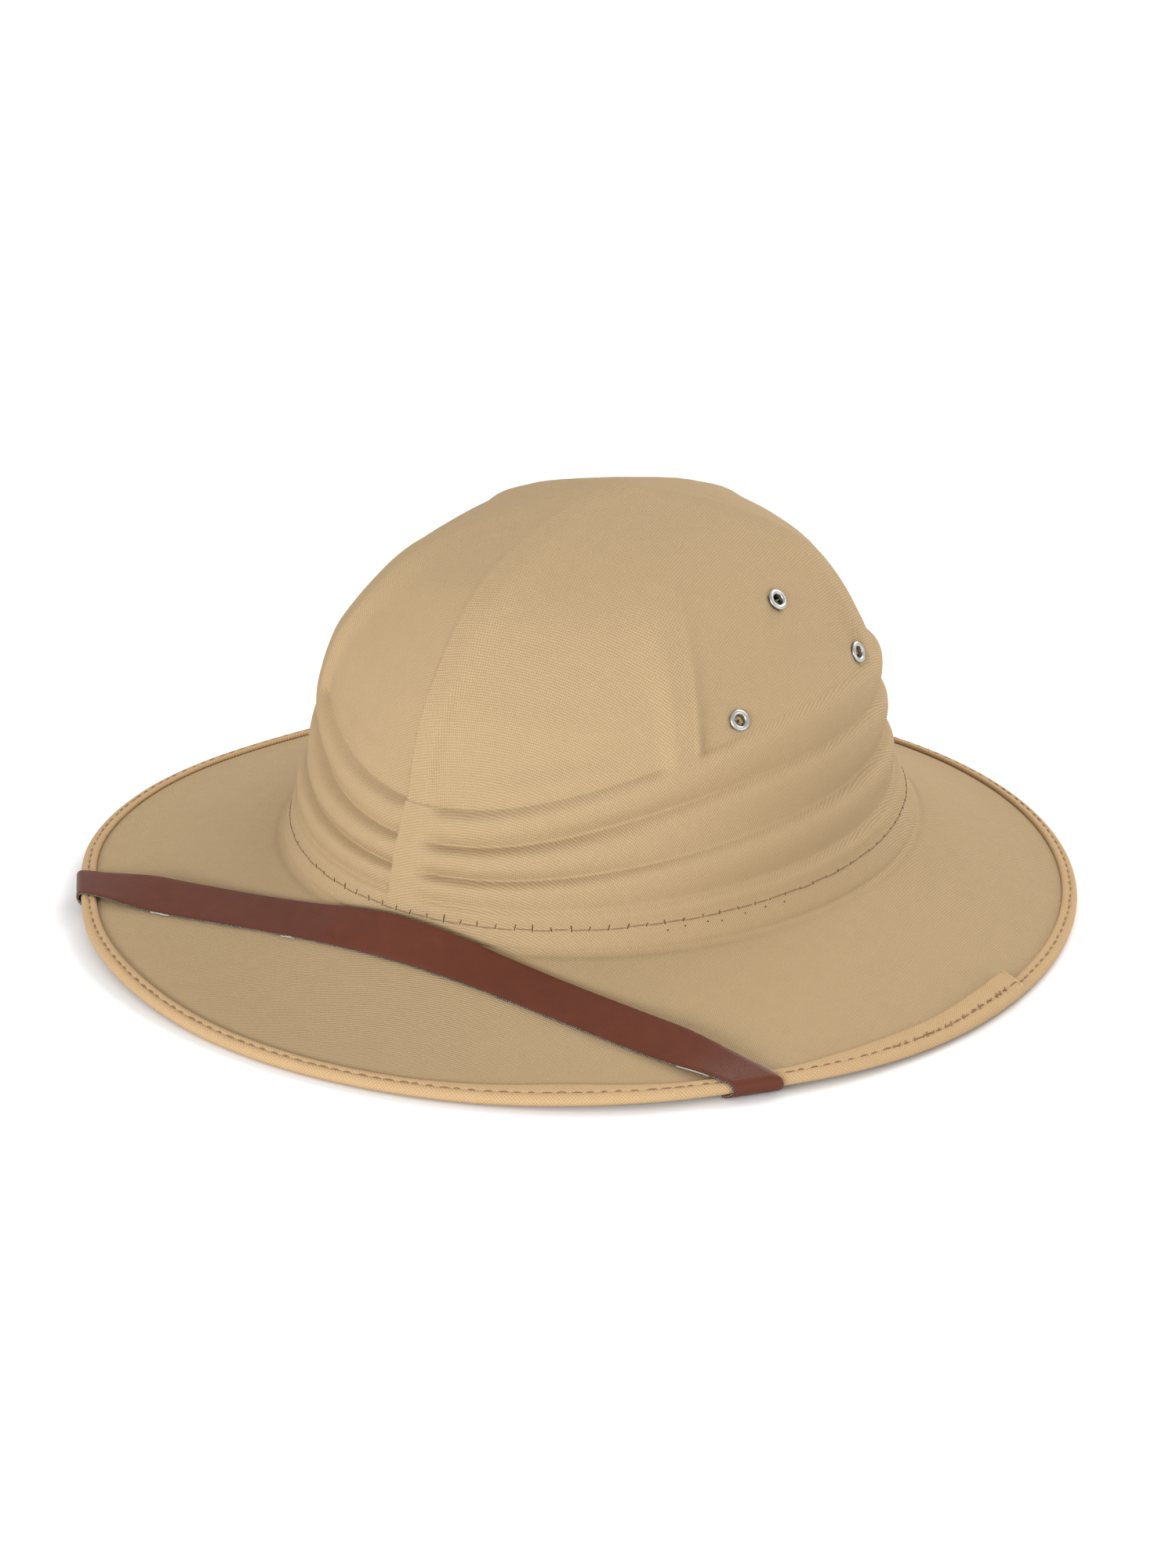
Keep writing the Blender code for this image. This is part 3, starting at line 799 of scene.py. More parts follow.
def eyelet_metal(color):
    """Bright nickel plate with faint handling marks."""
    material, tree, shader = start_material("eyelet nickel", color, 0.34, metallic=1.0)
    marks = noise(tree, object_coords(tree), 0.8 * MM, 4.0)
    tree.links.new(scaled(tree, marks, 0.25, 0.24), shader.inputs["Roughness"])
    tree.links.new(bump(tree, marks, 0.03 * MM, 0.4), shader.inputs["Normal"])
    return material


def sewing_thread(name, color):
    """Twisted thread."""
    material, tree, shader = start_material(name, color, 0.7, specular=0.3)
    ply = noise(tree, object_coords(tree), 0.3 * MM, 1.0)
    tree.links.new(blend_colors(tree, ply, toned(color, 0.55), color), shader.inputs["Base Color"])
    tree.links.new(bump(tree, ply, 0.08 * MM, 0.8), shader.inputs["Normal"])
    return material


def number_prop(name, description, default, unit):
    return bpy.props.FloatProperty(name=name, description=description, default=default, unit=unit, min=0.0)


def color_prop(name, description, default):
    return bpy.props.FloatVectorProperty(
        name=name, description=description, default=default, subtype="COLOR", size=3)


class HatSizes(bpy.types.PropertyGroup):
    """Sizes that a user would change."""

    weave_pitch: number_prop("Weave Pitch", "Repeat of the shell's weave", 0.88 * MM, "LENGTH")
    tape_weave_pitch: number_prop("Tape Weave Pitch", "Repeat of the tape's weave", 0.8 * MM, "LENGTH")
    crown_stitch: number_prop("Crown Stitch", "Length of a stitch round the crown", 6.15 * MM, "LENGTH")
    tape_stitch: number_prop("Tape Stitch", "Length of a stitch on the binding", 4.6 * MM, "LENGTH")
    thread_radius: number_prop("Thread Radius", "Half the thread's thickness", 0.24 * MM, "LENGTH")
    panel_columns: bpy.props.IntProperty(
        name="Panel Columns", description="Columns of the mesh between two ribs", default=54, min=12)


class HatColors(bpy.types.PropertyGroup):
    """Colours that a user would change."""

    cloth: color_prop("Cloth", "Khaki cloth", (0.370, 0.263, 0.147))
    tape: color_prop("Tape", "Binding tape", (0.44, 0.295, 0.158))
    strap: color_prop("Strap", "Strap's face", (0.089, 0.0195, 0.0065))
    backing: color_prop("Backing", "Strap's cloth backing", (0.030, 0.028, 0.026))
    thread: color_prop("Thread", "Sewing thread", (0.30, 0.17, 0.09))
    # Needle marks: the thread's colour darkened, painted shade of the holes and dimples where the needle went
    # in
    needle: color_prop("Needle Hole Painted Shade", "Painted shade of the ticks and holes where the needle went in", (0.12, 0.07, 0.04))
    fray: color_prop("Frays", "Broken pale threads", (0.50, 0.46, 0.42))
    metal: color_prop("Metal", "Eyelet plate", (0.43, 0.43, 0.415))


class HatStudio(bpy.types.PropertyGroup):
    """Studio values that a user would change."""

    front_power: number_prop("Front Power", "Wide light in front", 45.0, "POWER")
    left_power: number_prop("Left Power", "Low light on the wearer's left", 9.0, "POWER")
    back_power: number_prop("Back Power", "Soft light from behind", 36.0, "POWER")
    room_light: number_prop("Room Light", "Light from all round", 0.78, "NONE")


def crown_columns(count):
    """Angles of the shell's columns, closer together beside the ribs."""
    starts = [rib[0] for rib in RIBS] + [RIBS[0][0] + 360.0]
    crowding = 0.74
    columns = []
    for low, high in zip(starts[:-1], starts[1:]):
        for i in range(count):
            share = i / count
            columns.append(mix(low, high, share - crowding * math.sin(TAU * share) / TAU) * DEG)
    return np.array(columns + [starts[-1] * DEG])


def crown_rings(angles, panel_rings=37, fold_rings=18):
    """Places of the shell's rings down each column, following the fold grooves."""
    grooves = [groove_height(row, angles) for row in range(len(FOLD_GROOVES))]
    even = np.linspace(0.0, 1.0, panel_rings + 1)[:-1]
    heights = [mix(1.0, grooves[0], share) for share in mix(even, np.sin(even * math.pi / 2.0), 0.7)]
    even = np.linspace(0.0, 1.0, fold_rings + 1)
    for upper, lower in zip(grooves[:-1], grooves[1:]):
        heights += [mix(upper, lower, share) for share in even[:-1] ** 1.35]
    heights += [mix(grooves[-1], 0.0, share) for share in mix(even, ease(even), 0.8)]
    brim = [0.004, 0.01, 0.018, 0.027, 0.038, 0.05, 0.07] + list(np.linspace(0.1, 1.0, 18))
    return np.array([1.0 - height for height in heights] + [1.0 + share + 0.0 * angles for share in brim])


def build_shell(sizes, cloth):
    """Crown and brim as one sheet of moulded cloth, thickened inwards, with holes for the eyelets."""
    angles = crown_columns(sizes.panel_columns)
    along = crown_rings(angles)
    angle = np.broadcast_to(angles, along.shape)
    plain = surface(angle, along)
    run = np.cumsum(np.linalg.norm(np.diff(plain, axis=0), axis=-1), axis=0)
    run = np.concatenate([np.zeros((1, len(angles))), run])
    flat = np.stack([run * np.sin(angle), -run * np.cos(angle)], axis=-1)
    shell = grid_sheet("hat_shell", skin(angle, along), flat)
    close_seams(shell, outside=False)
    top_face = max(shell.data.polygons, key=lambda face: face.center.z)
    if top_face.normal.z < 0.0:
        shell.data.flip_normals()
    group = shell.vertex_groups.new(name="wall")
    reach = brim_half_width - crown_half_width
    for vertex in shell.data.vertices:
        beyond = math.hypot(vertex.co.x, vertex.co.y - crown_centre_y) - crown_half_width
        out = 1.0 + beyond / reach if beyond > 0.0 else 1.0
        group.add([vertex.index], float(wall_at(min(out, 2.0)) / wall), "REPLACE")
    apply_modifier(
        shell, "SOLIDIFY", thickness=wall, offset=-1.0, use_even_offset=True,
        vertex_group="wall", thickness_vertex_group=0.0)
    shell.vertex_groups.clear()
    cut_eyelet_holes(shell)
    return finish_piece(shell, cloth, ["shell"])


def eyelet_frame(degrees, height):
    """Placement of an eyelet, its axis along the shell's outward direction."""
    angle = degrees * DEG
    along = 1.0 - height
    turn_span = eyelet_radius / crown_half_width
    run_span = eyelet_radius / crown_height
    down = skin(angle, along + run_span) - skin(angle, along - run_span)
    round_hat = skin(angle + turn_span, along) - skin(angle - turn_span, along)
    axis = Vector(np.cross(down, round_hat)).normalized()
    turn = axis.to_track_quat("Z", "Y").to_matrix().to_4x4()
    return Matrix.Translation(Vector(skin(angle, along))) @ turn


def eyelet_places():
    """Name and placement of each eyelet."""
    return [(name, eyelet_frame(degrees, height)) for name, degrees, height, strands in EYELETS]


def cut_eyelet_holes(shell):
    """Holes through the cloth under the eyelets."""
    cutters = []
    for name, place in eyelet_places():
        bpy.ops.mesh.primitive_cylinder_add(
            vertices=32, radius=eyelet_barrel_radius + clearance, depth=5.0 * wall)
        cutter = bpy.context.object
        cutter.matrix_world = place
        cutters.append(cutter)
    work_on(*cutters)
    bpy.ops.object.join()
    cutter = bpy.context.object
    bpy.ops.object.transform_apply(location=True, rotation=True, scale=True)
    apply_modifier(shell, "BOOLEAN", operation="DIFFERENCE", object=cutter, solver="EXACT")
    bpy.data.objects.remove(cutter)


def build_eyelet(name, place, metal):
    """Rolled ring: an arc for its rolled face, a barrel through the cloth and a spread foot inside."""
    seat = clearance + eyelet_bow
    roll_middle = (eyelet_bore_radius + eyelet_radius) / 2.0
    roll_half = (eyelet_radius - eyelet_bore_radius) / 2.0
    profile = []
    for i in range(15):
        turn = math.pi * i / 14.0
        lift = seat + eyelet_flange * eyelet_roll * math.sin(turn)
        profile.append((roll_middle + roll_half * math.cos(turn), lift))
    inside = -wall - seat
    profile += [
        (eyelet_bore_radius, inside * 0.5),
        (eyelet_bore_radius, inside - eyelet_flange * 0.6),
        (mix(eyelet_bore_radius, eyelet_radius, 0.5), inside - eyelet_flange),
        (eyelet_radius, inside - eyelet_flange * 0.5),
        (eyelet_radius, inside),
        (eyelet_barrel_radius, inside),
        (eyelet_barrel_radius, seat - 0.1 * MM),
        (eyelet_radius - 0.2 * MM, seat - 0.1 * MM),
    ]
    profile.append(profile[0])
    turns = np.linspace(0.0, TAU, 49)
    points = np.array([[(r * math.cos(t), r * math.sin(t), z) for t in turns] for r, z in profile])
    ring = grid_sheet("ring_" + name, points)
    close_seams(ring)
    ring.data.transform(place)
    return finish_piece(ring, metal, [name])


def build_eyelet_lint(lint_with_painted_light):
    """Torn ends of the cloth that still stand in the eyelets' bores."""
    numbers = random.Random(14)
    tubes = []
    for name, degrees, height, strands in EYELETS:
        place = eyelet_frame(degrees, height)
        for i in range(strands):
            turn = TAU * (i + numbers.uniform(0.0, 0.7)) / strands
            reach = numbers.uniform(0.35, 1.0)
            points = []
            for share in (0.0, 0.35, 0.7, 1.0):
                radius = eyelet_bore_radius * mix(0.97, 1.0 - reach, share)
                bend = turn + 0.5 * share * numbers.uniform(-1.0, 1.0)
                depth = mix(-0.4, -0.7, share) * MM
                points.append(place @ Vector((radius * math.cos(bend), radius * math.sin(bend), depth)))
            tubes.append(thread_piece(points, numbers.uniform(0.16, 0.26) * MM, 5))
    # Its material is a lighter copy of the cloth: painted light inside the shaded bores
    return finish_piece(threads_mesh("eyelet_lint", tubes), lint_with_painted_light)


def tape_rise(angle):
    """Extra thickness where the tape's cut end laps over its start."""
    past = (tape_lap_angle - angle / DEG) / tape_lap_length
    lap = tape_lap_rise * (1.0 - ease(past * 2.0 - 1.0))
    return np.where((past < 0.0) | (past > 1.0), 0.0, lap)


def tape_channel(beyond):
    """Depth of the stitched channel at a distance from the stitches."""
    return tape_channel_depth * np.exp(-(beyond / tape_channel_width) ** 2)


def tape_height(angle, inset):
    """Height of the tape's face over the brim at a distance from its inner edge."""
    rounded = np.sqrt(1.0 - (1.0 - np.clip(inset / tape_lip, 0.0, 1.0)) ** 2)
    full = tape_thickness * mix(0.3, tape_fullness, rounded)
    return clearance + full + tape_rise(angle) - tape_channel(inset - tape_stitch_share * tape_size(angle))


def tape_face(angle, inset):
    """Point of the tape's face at a distance from its inner edge."""
    return skin(angle, tape_place(angle, inset)) + outward(angle, 2.0) * tape_height(angle, inset)[..., None]


def tape_edge(angle, turn):
    """Point of the tape's rounded edge, turn running from 90 degrees on top to -90 below."""
    up = outward(angle, 2.0)
    out = unit(skin(angle, 2.0) - skin(angle, tape_place(angle)))
    beyond = (1.0 - tape_stitch_share) * tape_size(angle) + rim_thickness / 2.0 * (math.pi / 2.0 - turn)
    full = tape_thickness * mix(tape_fullness, tape_under_fullness, ease(-math.sin(turn)))
    lap = tape_rise(angle) * max(math.sin(turn), 0.0)
    reach = edge_wall / 2.0 + clearance + full - tape_channel(beyond) + lap
    middle = skin(angle, 2.0, edge_wall / 2.0) + out * clearance
    return middle + (up * math.sin(turn) + out * math.cos(turn)) * reach[..., None]


def build_binding(cloth):
    """Bias tape folded over the edge: an inner roll, a channel under its stitches and a thick round edge."""
    step = 0.05
    ends = (tape_lap_angle - step, tape_lap_angle + step, 360.0)
    angle = np.unique(np.concatenate([np.arange(0.0, 360.0, 0.75), ends])) * DEG
    width = tape_size(angle)
    stitched = width * tape_stitch_share
    up = outward(angle, 2.0)
    insets = [tape_lip * share + 0.0 * width for share in (0.0, 0.0, 0.06, 0.2, 0.45, 1.0)]
    insets += [mix(tape_lip, stitched - 2.2 * tape_channel_width, share) for share in (0.35, 0.7, 1.0)]
    insets += [stitched + tape_channel_width * share for share in (-1.4, -0.85, -0.4, 0.0, 0.4, 0.8)]
    rows = [tape_face(angle, inset) for inset in insets]
    rows[0] = skin(angle, tape_place(angle)) + up * (0.4 * clearance)
    rows += [tape_edge(angle, turn) for turn in np.linspace(84.0, -90.0, 19) * DEG]
    run = list(insets) + [width + row * tape_edge_step for row in range(19)]
    for share, lift in TAPE_UNDERSIDE:
        place = tape_place(angle, width * (1.0 - share))
        rows.append(skin(angle, place) - up * (wall_at(place) + clearance + tape_thickness * lift)[..., None])
        run.append(width * (1.0 + share) + rim_thickness)
    inner = clearance + tape_seat
    for inset in (width * 0.5, width):
        place = tape_place(angle, inset)
        rows.append(skin(angle, place) - up * (wall_at(place) + inner)[..., None])
    out = unit(skin(angle, 2.0) - skin(angle, tape_place(angle)))
    rows.append(skin(angle, 2.0, edge_wall / 2.0) + out * inner)
    rows += [skin(angle, tape_place(angle, inset)) + up * inner for inset in (width, width * 0.5)]
    rows.append(rows[0])
    run += [run[-1]] * (len(rows) - len(run))
    flat = np.stack(np.broadcast_arrays((angle * brim_half_width)[None, :], np.array(run)), axis=-1)
    binding = grid_sheet("edge_binding", np.array(rows), flat)
    close_seams(binding)
    return finish_piece(binding, cloth, ["brim_binding"])


def brim_at(x, y, rounds=20, step=1e-4):
    """Angles and places on the brim over points of the plan, found by stepping down the misfit."""
    angle = np.arctan2(x, -y)
    along = 1.5 + 0.0 * angle
    for _ in range(rounds):
        here = surface(angle, along)
        turn = surface(angle + step, along) - here
        run = surface(angle, along + step) - here
        miss_x = x - here[..., 0]
        miss_y = y - here[..., 1]
        spread = turn[..., 0] * run[..., 1] - turn[..., 1] * run[..., 0]
        angle = angle + step * (miss_x * run[..., 1] - miss_y * run[..., 0]) / spread
        along = along + step * (turn[..., 0] * miss_y - turn[..., 1] * miss_x) / spread
        along = np.clip(along, 1.0, 2.0)
    return angle, along


def strap_lift(angle, along):
    """Height of the strap's near face over the shell, which grows where it passes the tape."""
    over_tape = ease(1.0 - (tape_place(angle) - along) / strap_tape_ramp)
    return strap_clearance + (tape_thickness + clearance) * over_tape


def strap_on_brim(x, y):
    """Points of the strap's near face over points of the plan."""
    angle, along = brim_at(x, y)
    return surface(angle, along) + outward(angle, along) * strap_lift(angle, along)[..., None]


def strap_over(shares):
    """Stations on top of the brim: the back edge leans on the crown, and lies flat at the rim."""
    x = brim_edge(strap_outer_angle * DEG)[0] * shares
    front = strap_on_brim(x, mix(-strap_front_y, -strap_front_y + strap_sweep, shares * shares))
    x = brim_edge(strap_inner_angle * DEG)[0] * shares
    plain = front[:, 1] + strap_width * mix(strap_plan_middle, strap_plan_end, shares * shares)
    foot = np.sqrt(1.0 - np.minimum(np.abs(x) / crown_half_width, 1.0) ** 2)
    over = plain - (crown_centre_y - crown_half_length * foot - strap_clearance)
    y = plain - (over + np.hypot(over, strap_slack)) / 2.0
    back = strap_on_brim(x, y)
    standing = 1.0 - ease((np.abs(shares) - strap_flat_start) / (1.0 - strap_flat_start))
    leaning = front[:, 2] + standing * np.sqrt(np.maximum(strap_width ** 2 - (y - front[:, 1]) ** 2, 0.0))
    back[:, 2] = (back[:, 2] + leaning + np.hypot(back[:, 2] - leaning, strap_clearance)) / 2.0
    up = unit(np.cross((1.0, 0.0, 0.0), unit(back - front)))
    return np.stack([front, back, up, up], axis=1)


def strap_edges(front, back):
    """Stations from the points and the upward directions of the strap's two edges."""
    return np.stack([front[0], back[0], front[1], back[1]], axis=1)


def strap_under(side, steps=40, tail_steps=8):
    """Stations of one side from the brim's edge, under the brim, to the strap's end inside the crown."""
    half = strap_width / (crown_half_width + crown_half_length) / DEG
    shares = np.append(np.arange(1, steps + 1) / steps, np.ones(tail_steps))
    swing = np.sin(shares * math.pi / 2.0)
    tail = np.append(np.zeros(steps), np.arange(1, tail_steps + 1) / tail_steps)
    along = mix(2.0, 1.0, shares) - strap_tail / crown_height * tail
    edges = []
    for start, end in ((strap_outer_angle, -half), (strap_inner_angle, half)):
        angle = mix(start, strap_anchor_angle + end, swing) * side * DEG
        edges.append((skin(angle, along, wall_at(along) + strap_lift(angle, along)), -outward(angle, along)))
    return strap_edges(*edges)


def strap_round(side, span=0.05, steps=15):
    """Stations round the brim's edge, from below to above, along the strap's own slanting way."""
    turn = np.linspace(0.0, 165.0, steps)[:, None] * DEG
    reach = edge_wall / 2.0 + clearance + tape_thickness + strap_clearance
    edges = []
    for degrees in (strap_outer_angle, strap_inner_angle):
        angle = degrees * side * DEG
        out = unit(skin(angle, 2.0) - skin(angle, 2.0 - span))
        middle = skin(angle, 2.0, edge_wall / 2.0) + out * clearance
        slant = np.array((1.0 / out[0], 0.0, 0.0))
        way = slant * np.sin(turn) - outward(angle, 2.0) * np.cos(turn)
        edges.append((middle + way * reach, unit(way)))
    return strap_edges(*edges)


def strap_stations(top_steps=110):
    """Stations of the whole strap from its right end inside the crown to its left end."""
    right = [strap_under(-1.0)[::-1], strap_round(-1.0)]
    top = strap_over(np.linspace(-1.0, 1.0, top_steps + 1)[2:-2])
    left = [strap_round(1.0)[::-1], strap_under(1.0)]
    return np.concatenate(right + [top] + left)


def strap_layer(name, stations, low, high, margin=0.0, wobble=0.0, seed=5):
    """One layer of the strap between two heights, its front edge moved out by an uneven margin."""
    front, back, up_front, up_back = np.moveaxis(stations, 1, 0)
    across = unit(back - front)
    width = np.linalg.norm(back - front, axis=-1)
    steps = np.linalg.norm(np.diff((front + back) / 2.0, axis=0), axis=-1)
    run = np.concatenate([[0.0], np.cumsum(steps)])
    numbers = random.Random(seed)
    margin = margin + np.array([numbers.uniform(-1.0, 1.0) for _ in run]) * wobble
    below = high - 0.3 * strap_corner
    section = [(0.0, 0.0, low + strap_corner), (0.0, 0.0, high - strap_corner)]
    section += [(0.0, 0.3, below), (0.0, 1.0, high)]
    section += [(share, 0.0, high) for share in (0.12, 0.3, 0.5, 0.7, 0.88)]
    section += [(1.0, -1.0, high), (1.0, -0.3, below), (1.0, 0.0, high - strap_corner)]
    section += [(1.0, 0.0, low + strap_corner), (1.0, -1.0, low)]
    section += [(0.5, 0.0, low), (0.0, 1.0, low), section[0]]
    rows = []
    spread = []
    for share, corners, lift in section:
        inset = width * share + strap_corner * corners - margin * (1.0 - share)
        rows.append(front + across * inset[:, None] + unit(mix(up_front, up_back, share)) * lift)
        spread.append(share * strap_width)
    flat = np.stack(np.broadcast_arrays(run[None, :], np.array(spread)[:, None]), axis=-1)
    layer = grid_sheet(name, np.array(rows), flat)
    close_seams(layer, fill=True)
    bpy.ops.object.shade_smooth_by_angle(angle=40.0 * DEG)
    return layer


def build_strap(vinyl, backing):
    stations = strap_stations()
    seam = backing_thickness - 0.03 * MM
    face = strap_layer("strap_face", stations, seam, seam + vinyl_thickness)
    finish_piece(face, vinyl, ["chin_strap"])
    cloth = strap_layer("strap_backing", stations, 0.0, backing_thickness, backing_margin, backing_wobble)
    finish_piece(cloth, backing)


def build_strap_frays(thread):
    """Pale broken threads where the backing frays along the strap's front edge."""
    numbers = random.Random(8)
    tubes = []
    for start, end, strands in FRAYS:
        for _ in range(strands):
            low = mix(start, end, numbers.uniform(0.0, 0.35))
            high = mix(start, end, numbers.uniform(0.6, 1.0))
            stations = strap_over(np.linspace(low, high, 14))
            across = unit(stations[:, 1] - stations[:, 0])
            waves = np.sin(np.linspace(0.0, numbers.uniform(4.0, 9.0), 14) + numbers.uniform(0.0, TAU))
            out = numbers.uniform(0.25, 0.6) * MM + 0.12 * MM * waves
            lift = numbers.uniform(0.12, 0.4) * MM + 0.06 * MM * waves
            points = stations[:, 0] - across * out[:, None] + stations[:, 2] * lift[:, None]
            tubes.append(thread_piece(points, numbers.uniform(0.1, 0.17) * MM))
    return finish_piece(threads_mesh("strap_frays", tubes), thread)


def thread_piece(points, radius, sides=6):
    """Tube of thread through points, as rows of vertices."""
    points = np.array(points)
    way = unit(np.gradient(points, axis=0))
    side = unit(np.cross(way, (0.13, 0.21, 0.97)))
    up = np.cross(side, way)
    taper = np.ones(len(points))
    taper[[0, -1]] = 0.35
    rows = []
    for turn in np.linspace(0.0, TAU, sides + 1)[:-1]:
        rows.append(points + (side * math.cos(turn) + up * math.sin(turn)) * (radius * taper)[:, None])
    return np.swapaxes(np.array(rows), 0, 1)


def threads_mesh(name, tubes):
    """All threads of one row of stitches as one mesh, each one a closed tube."""
    vertices = []
    faces = []
    for tube in tubes:
        first = len(vertices)
        stations, sides = tube.shape[:2]
        vertices += [tuple(point) for point in tube.reshape(-1, 3)]
        for i in range(stations - 1):
            for j in range(sides):
                k = (j + 1) % sides
                a = first + i * sides
                faces.append((a + j, a + k, a + sides + k, a + sides + j))
        faces.append(tuple(first + j for j in reversed(range(sides))))
        faces.append(tuple(first + (stations - 1) * sides + j for j in range(sides)))
    mesh = bpy.data.meshes.new(name)
    mesh.from_pydata(vertices, [], faces)
    piece = bpy.data.objects.new(name, mesh)
    bpy.context.scene.collection.objects.link(piece)
    close_seams(piece, distance=0.0)
    return piece


def build_crown_stitches(sizes, thread, ticks):
    """Long fine stitches round the crown's foot, with short upright ticks and stray holes of the needle, the
    ticks and holes drawn as dark marks of painted shade.
    """
    numbers = random.Random(21)
    around = math.pi * (crown_half_length + crown_half_width)
    count = round(around / sizes.crown_stitch)
    radius = sizes.thread_radius
    along_stitch = np.linspace(0.03, 0.97, 10)
    up_tick = np.linspace(-1.0, 1.0, 7)
    tubes = []
    marks = []
    for i in range(count):
        start = TAU * (i + numbers.uniform(-0.06, 0.06)) / count
        end = TAU * (i + 1.0 + numbers.uniform(-0.06, 0.06)) / count
        slip = numbers.uniform(-0.22, 0.22) * MM / crown_height
        angle = mix(start, end, along_stitch)
        height = groove_height(3, angle) * stitch_line_share + slip
        lift = radius * (1.1 * np.sin(math.pi * along_stitch) - 0.45)
        tubes.append(thread_piece(skin(angle, 1.0 - height, -lift), radius * 0.75))
        # Ticks and stray holes take the needle marks' colour: painted shade of the holes the needle left
        tall = math.exp(-((turned(start) - tall_tick_angle) / tall_tick_spread) ** 2)
        tick = mix(numbers.uniform(0.25, 0.6), numbers.uniform(0.8, 1.6), tall) * MM / crown_height
        lean = numbers.uniform(-0.35, 0.35) * MM / crown_half_length
        height = groove_height(3, start) * stitch_line_share + mix(0.1, 0.45, tall) * tick
        sunk = -radius * (0.5 - up_tick * up_tick)
        points = skin(start + lean * up_tick, 1.0 - height - tick * up_tick, sunk)
        marks.append(thread_piece(points, radius * numbers.uniform(0.6, 0.9)))
    for degrees in STRAY_HOLES:
        start = (degrees + numbers.uniform(-0.6, 0.6)) * DEG
        below = numbers.uniform(1.6, 2.6) * MM / crown_height
        height = groove_height(3, start) * stitch_line_share - below
        points = skin(start + 0.0 * up_tick, 1.0 - height - 0.25 * MM / crown_height * up_tick, 0.0)
        marks.append(thread_piece(points, radius * 1.1))
    finish_piece(threads_mesh("crown_stitches", tubes), thread)
    finish_piece(threads_mesh("crown_stitch_ticks", marks), ticks)


def build_tape_stitches(sizes, thread, pale):
    """Broken stitches in the binding's channel, crossed near the lap, and the tape's pale cut end."""
    numbers = random.Random(33)
    radius = sizes.thread_radius
    count = round(TAU * brim_half_width / sizes.tape_stitch)
    along_stitch = np.linspace(0.0, 1.0, 9)
    tubes = []
    for i in range(count):
        start = TAU * (i + numbers.uniform(0.0, 0.2)) / count
        end = start + TAU * numbers.uniform(0.45, 0.9) / count
        slip = numbers.uniform(-0.22, 0.22) * MM
        angle = mix(start, end, along_stitch)
        inset = tape_size(angle) * tape_stitch_share + slip * np.sin(math.pi * along_stitch)
        lift = radius * (1.3 * np.sin(math.pi * along_stitch) - 0.4)
        points = tape_face(angle, inset) + outward(angle, 2.0) * lift[:, None]
        tubes.append(thread_piece(points, radius * numbers.uniform(0.65, 0.95)))
    for i in range(crossing_count):
        share = (i + numbers.uniform(0.0, 0.8)) / crossing_count
        start = mix(crossing_start, tape_lap_angle - 2.0, share) * DEG
        angle = start + numbers.uniform(0.004, 0.011) * along_stitch
        swing = numbers.uniform(0.4, 1.1) * MM * np.cos(math.pi * along_stitch)
        inset = tape_size(angle) * tape_stitch_share + swing
        lift = radius * (0.9 * np.sin(math.pi * along_stitch) + 0.1)
        points = tape_face(angle, inset) + outward(angle, 2.0) * lift[:, None]
        tubes.append(thread_piece(points, radius * 0.7))
    finish_piece(threads_mesh("binding_stitches", tubes), thread)
    end = (tape_lap_angle - 0.1) * DEG
    width = tape_size(end)
    across = [tape_face(end, inset) for inset in np.linspace(0.0, width, 14)]
    across += [tape_edge(end, turn) for turn in np.linspace(80.0, -70.0, 16) * DEG]
    finish_piece(threads_mesh("binding_cut_end", [thread_piece(across, 0.3 * MM)]), pale)


def build_stage(studio):
    """Pale floor and soft studio light."""
    bpy.ops.mesh.primitive_plane_add(size=floor_size)
    floor = bpy.context.object
    floor.name = "studio_floor"
    floor.data.materials.append(start_material("studio floor", (0.9, 0.9, 0.9), 0.9, specular=0.1)[0])
    world = bpy.data.worlds.new("studio")
    bpy.context.scene.world = world
    world.use_nodes = True
    background = world.node_tree.nodes["Background"]
    background.inputs["Color"].default_value = (1.0, 1.0, 1.0, 1.0)
    background.inputs["Strength"].default_value = studio.room_light
    middle = Vector((0.0, 0.0, light_aim_height))
    for name, power, wide, high, azimuth, elevation in LIGHTS:
        bpy.ops.object.light_add(type="AREA")
        light = bpy.context.object
        light.name = name
        light.data.shape = "RECTANGLE"
        light.data.size = wide
        light.data.size_y = high
        light.data.energy = getattr(studio, power)
        back = direction(azimuth, elevation)
        light.location = middle + back * light_distance
        light.rotation_euler = (-back).to_track_quat("-Z", "Y").to_euler()


def direction(azimuth, elevation):
    """Direction towards a viewer at an azimuth and elevation."""
    a = azimuth * DEG
    e = elevation * DEG
    return Vector((math.sin(a) * math.cos(e), -math.cos(a) * math.cos(e), math.sin(e)))


def build_camera():
    """Camera where the photograph was taken from."""
    azimuth = 34.0
    elevation = 24.0
    distance = 2.7426
    aim = Vector((0.0, brim_widest_y + 9.4 * MM, rest_height + 0.4 * MM))
    aim_pixel = (748.87, 1129.57)
    pixels_per_metre = 3950.0
    frame_width = 1500.0
    frame_height = 2000.0
    back = direction(azimuth, elevation)
    data = bpy.data.cameras.new("camera")
    camera = bpy.data.objects.new("camera", data)
    bpy.context.scene.collection.objects.link(camera)
    camera.location = aim + back * distance
    camera.rotation_euler = (-back).to_track_quat("-Z", "Y").to_euler()
    data.sensor_width = 36.0
    data.lens = pixels_per_metre * distance / frame_height * data.sensor_width
    data.shift_x = (frame_width / 2.0 - aim_pixel[0]) / frame_height
    data.shift_y = (aim_pixel[1] - frame_height / 2.0) / frame_height
    bpy.context.scene.camera = camera
    bpy.context.scene.view_settings.view_transform = "Standard"


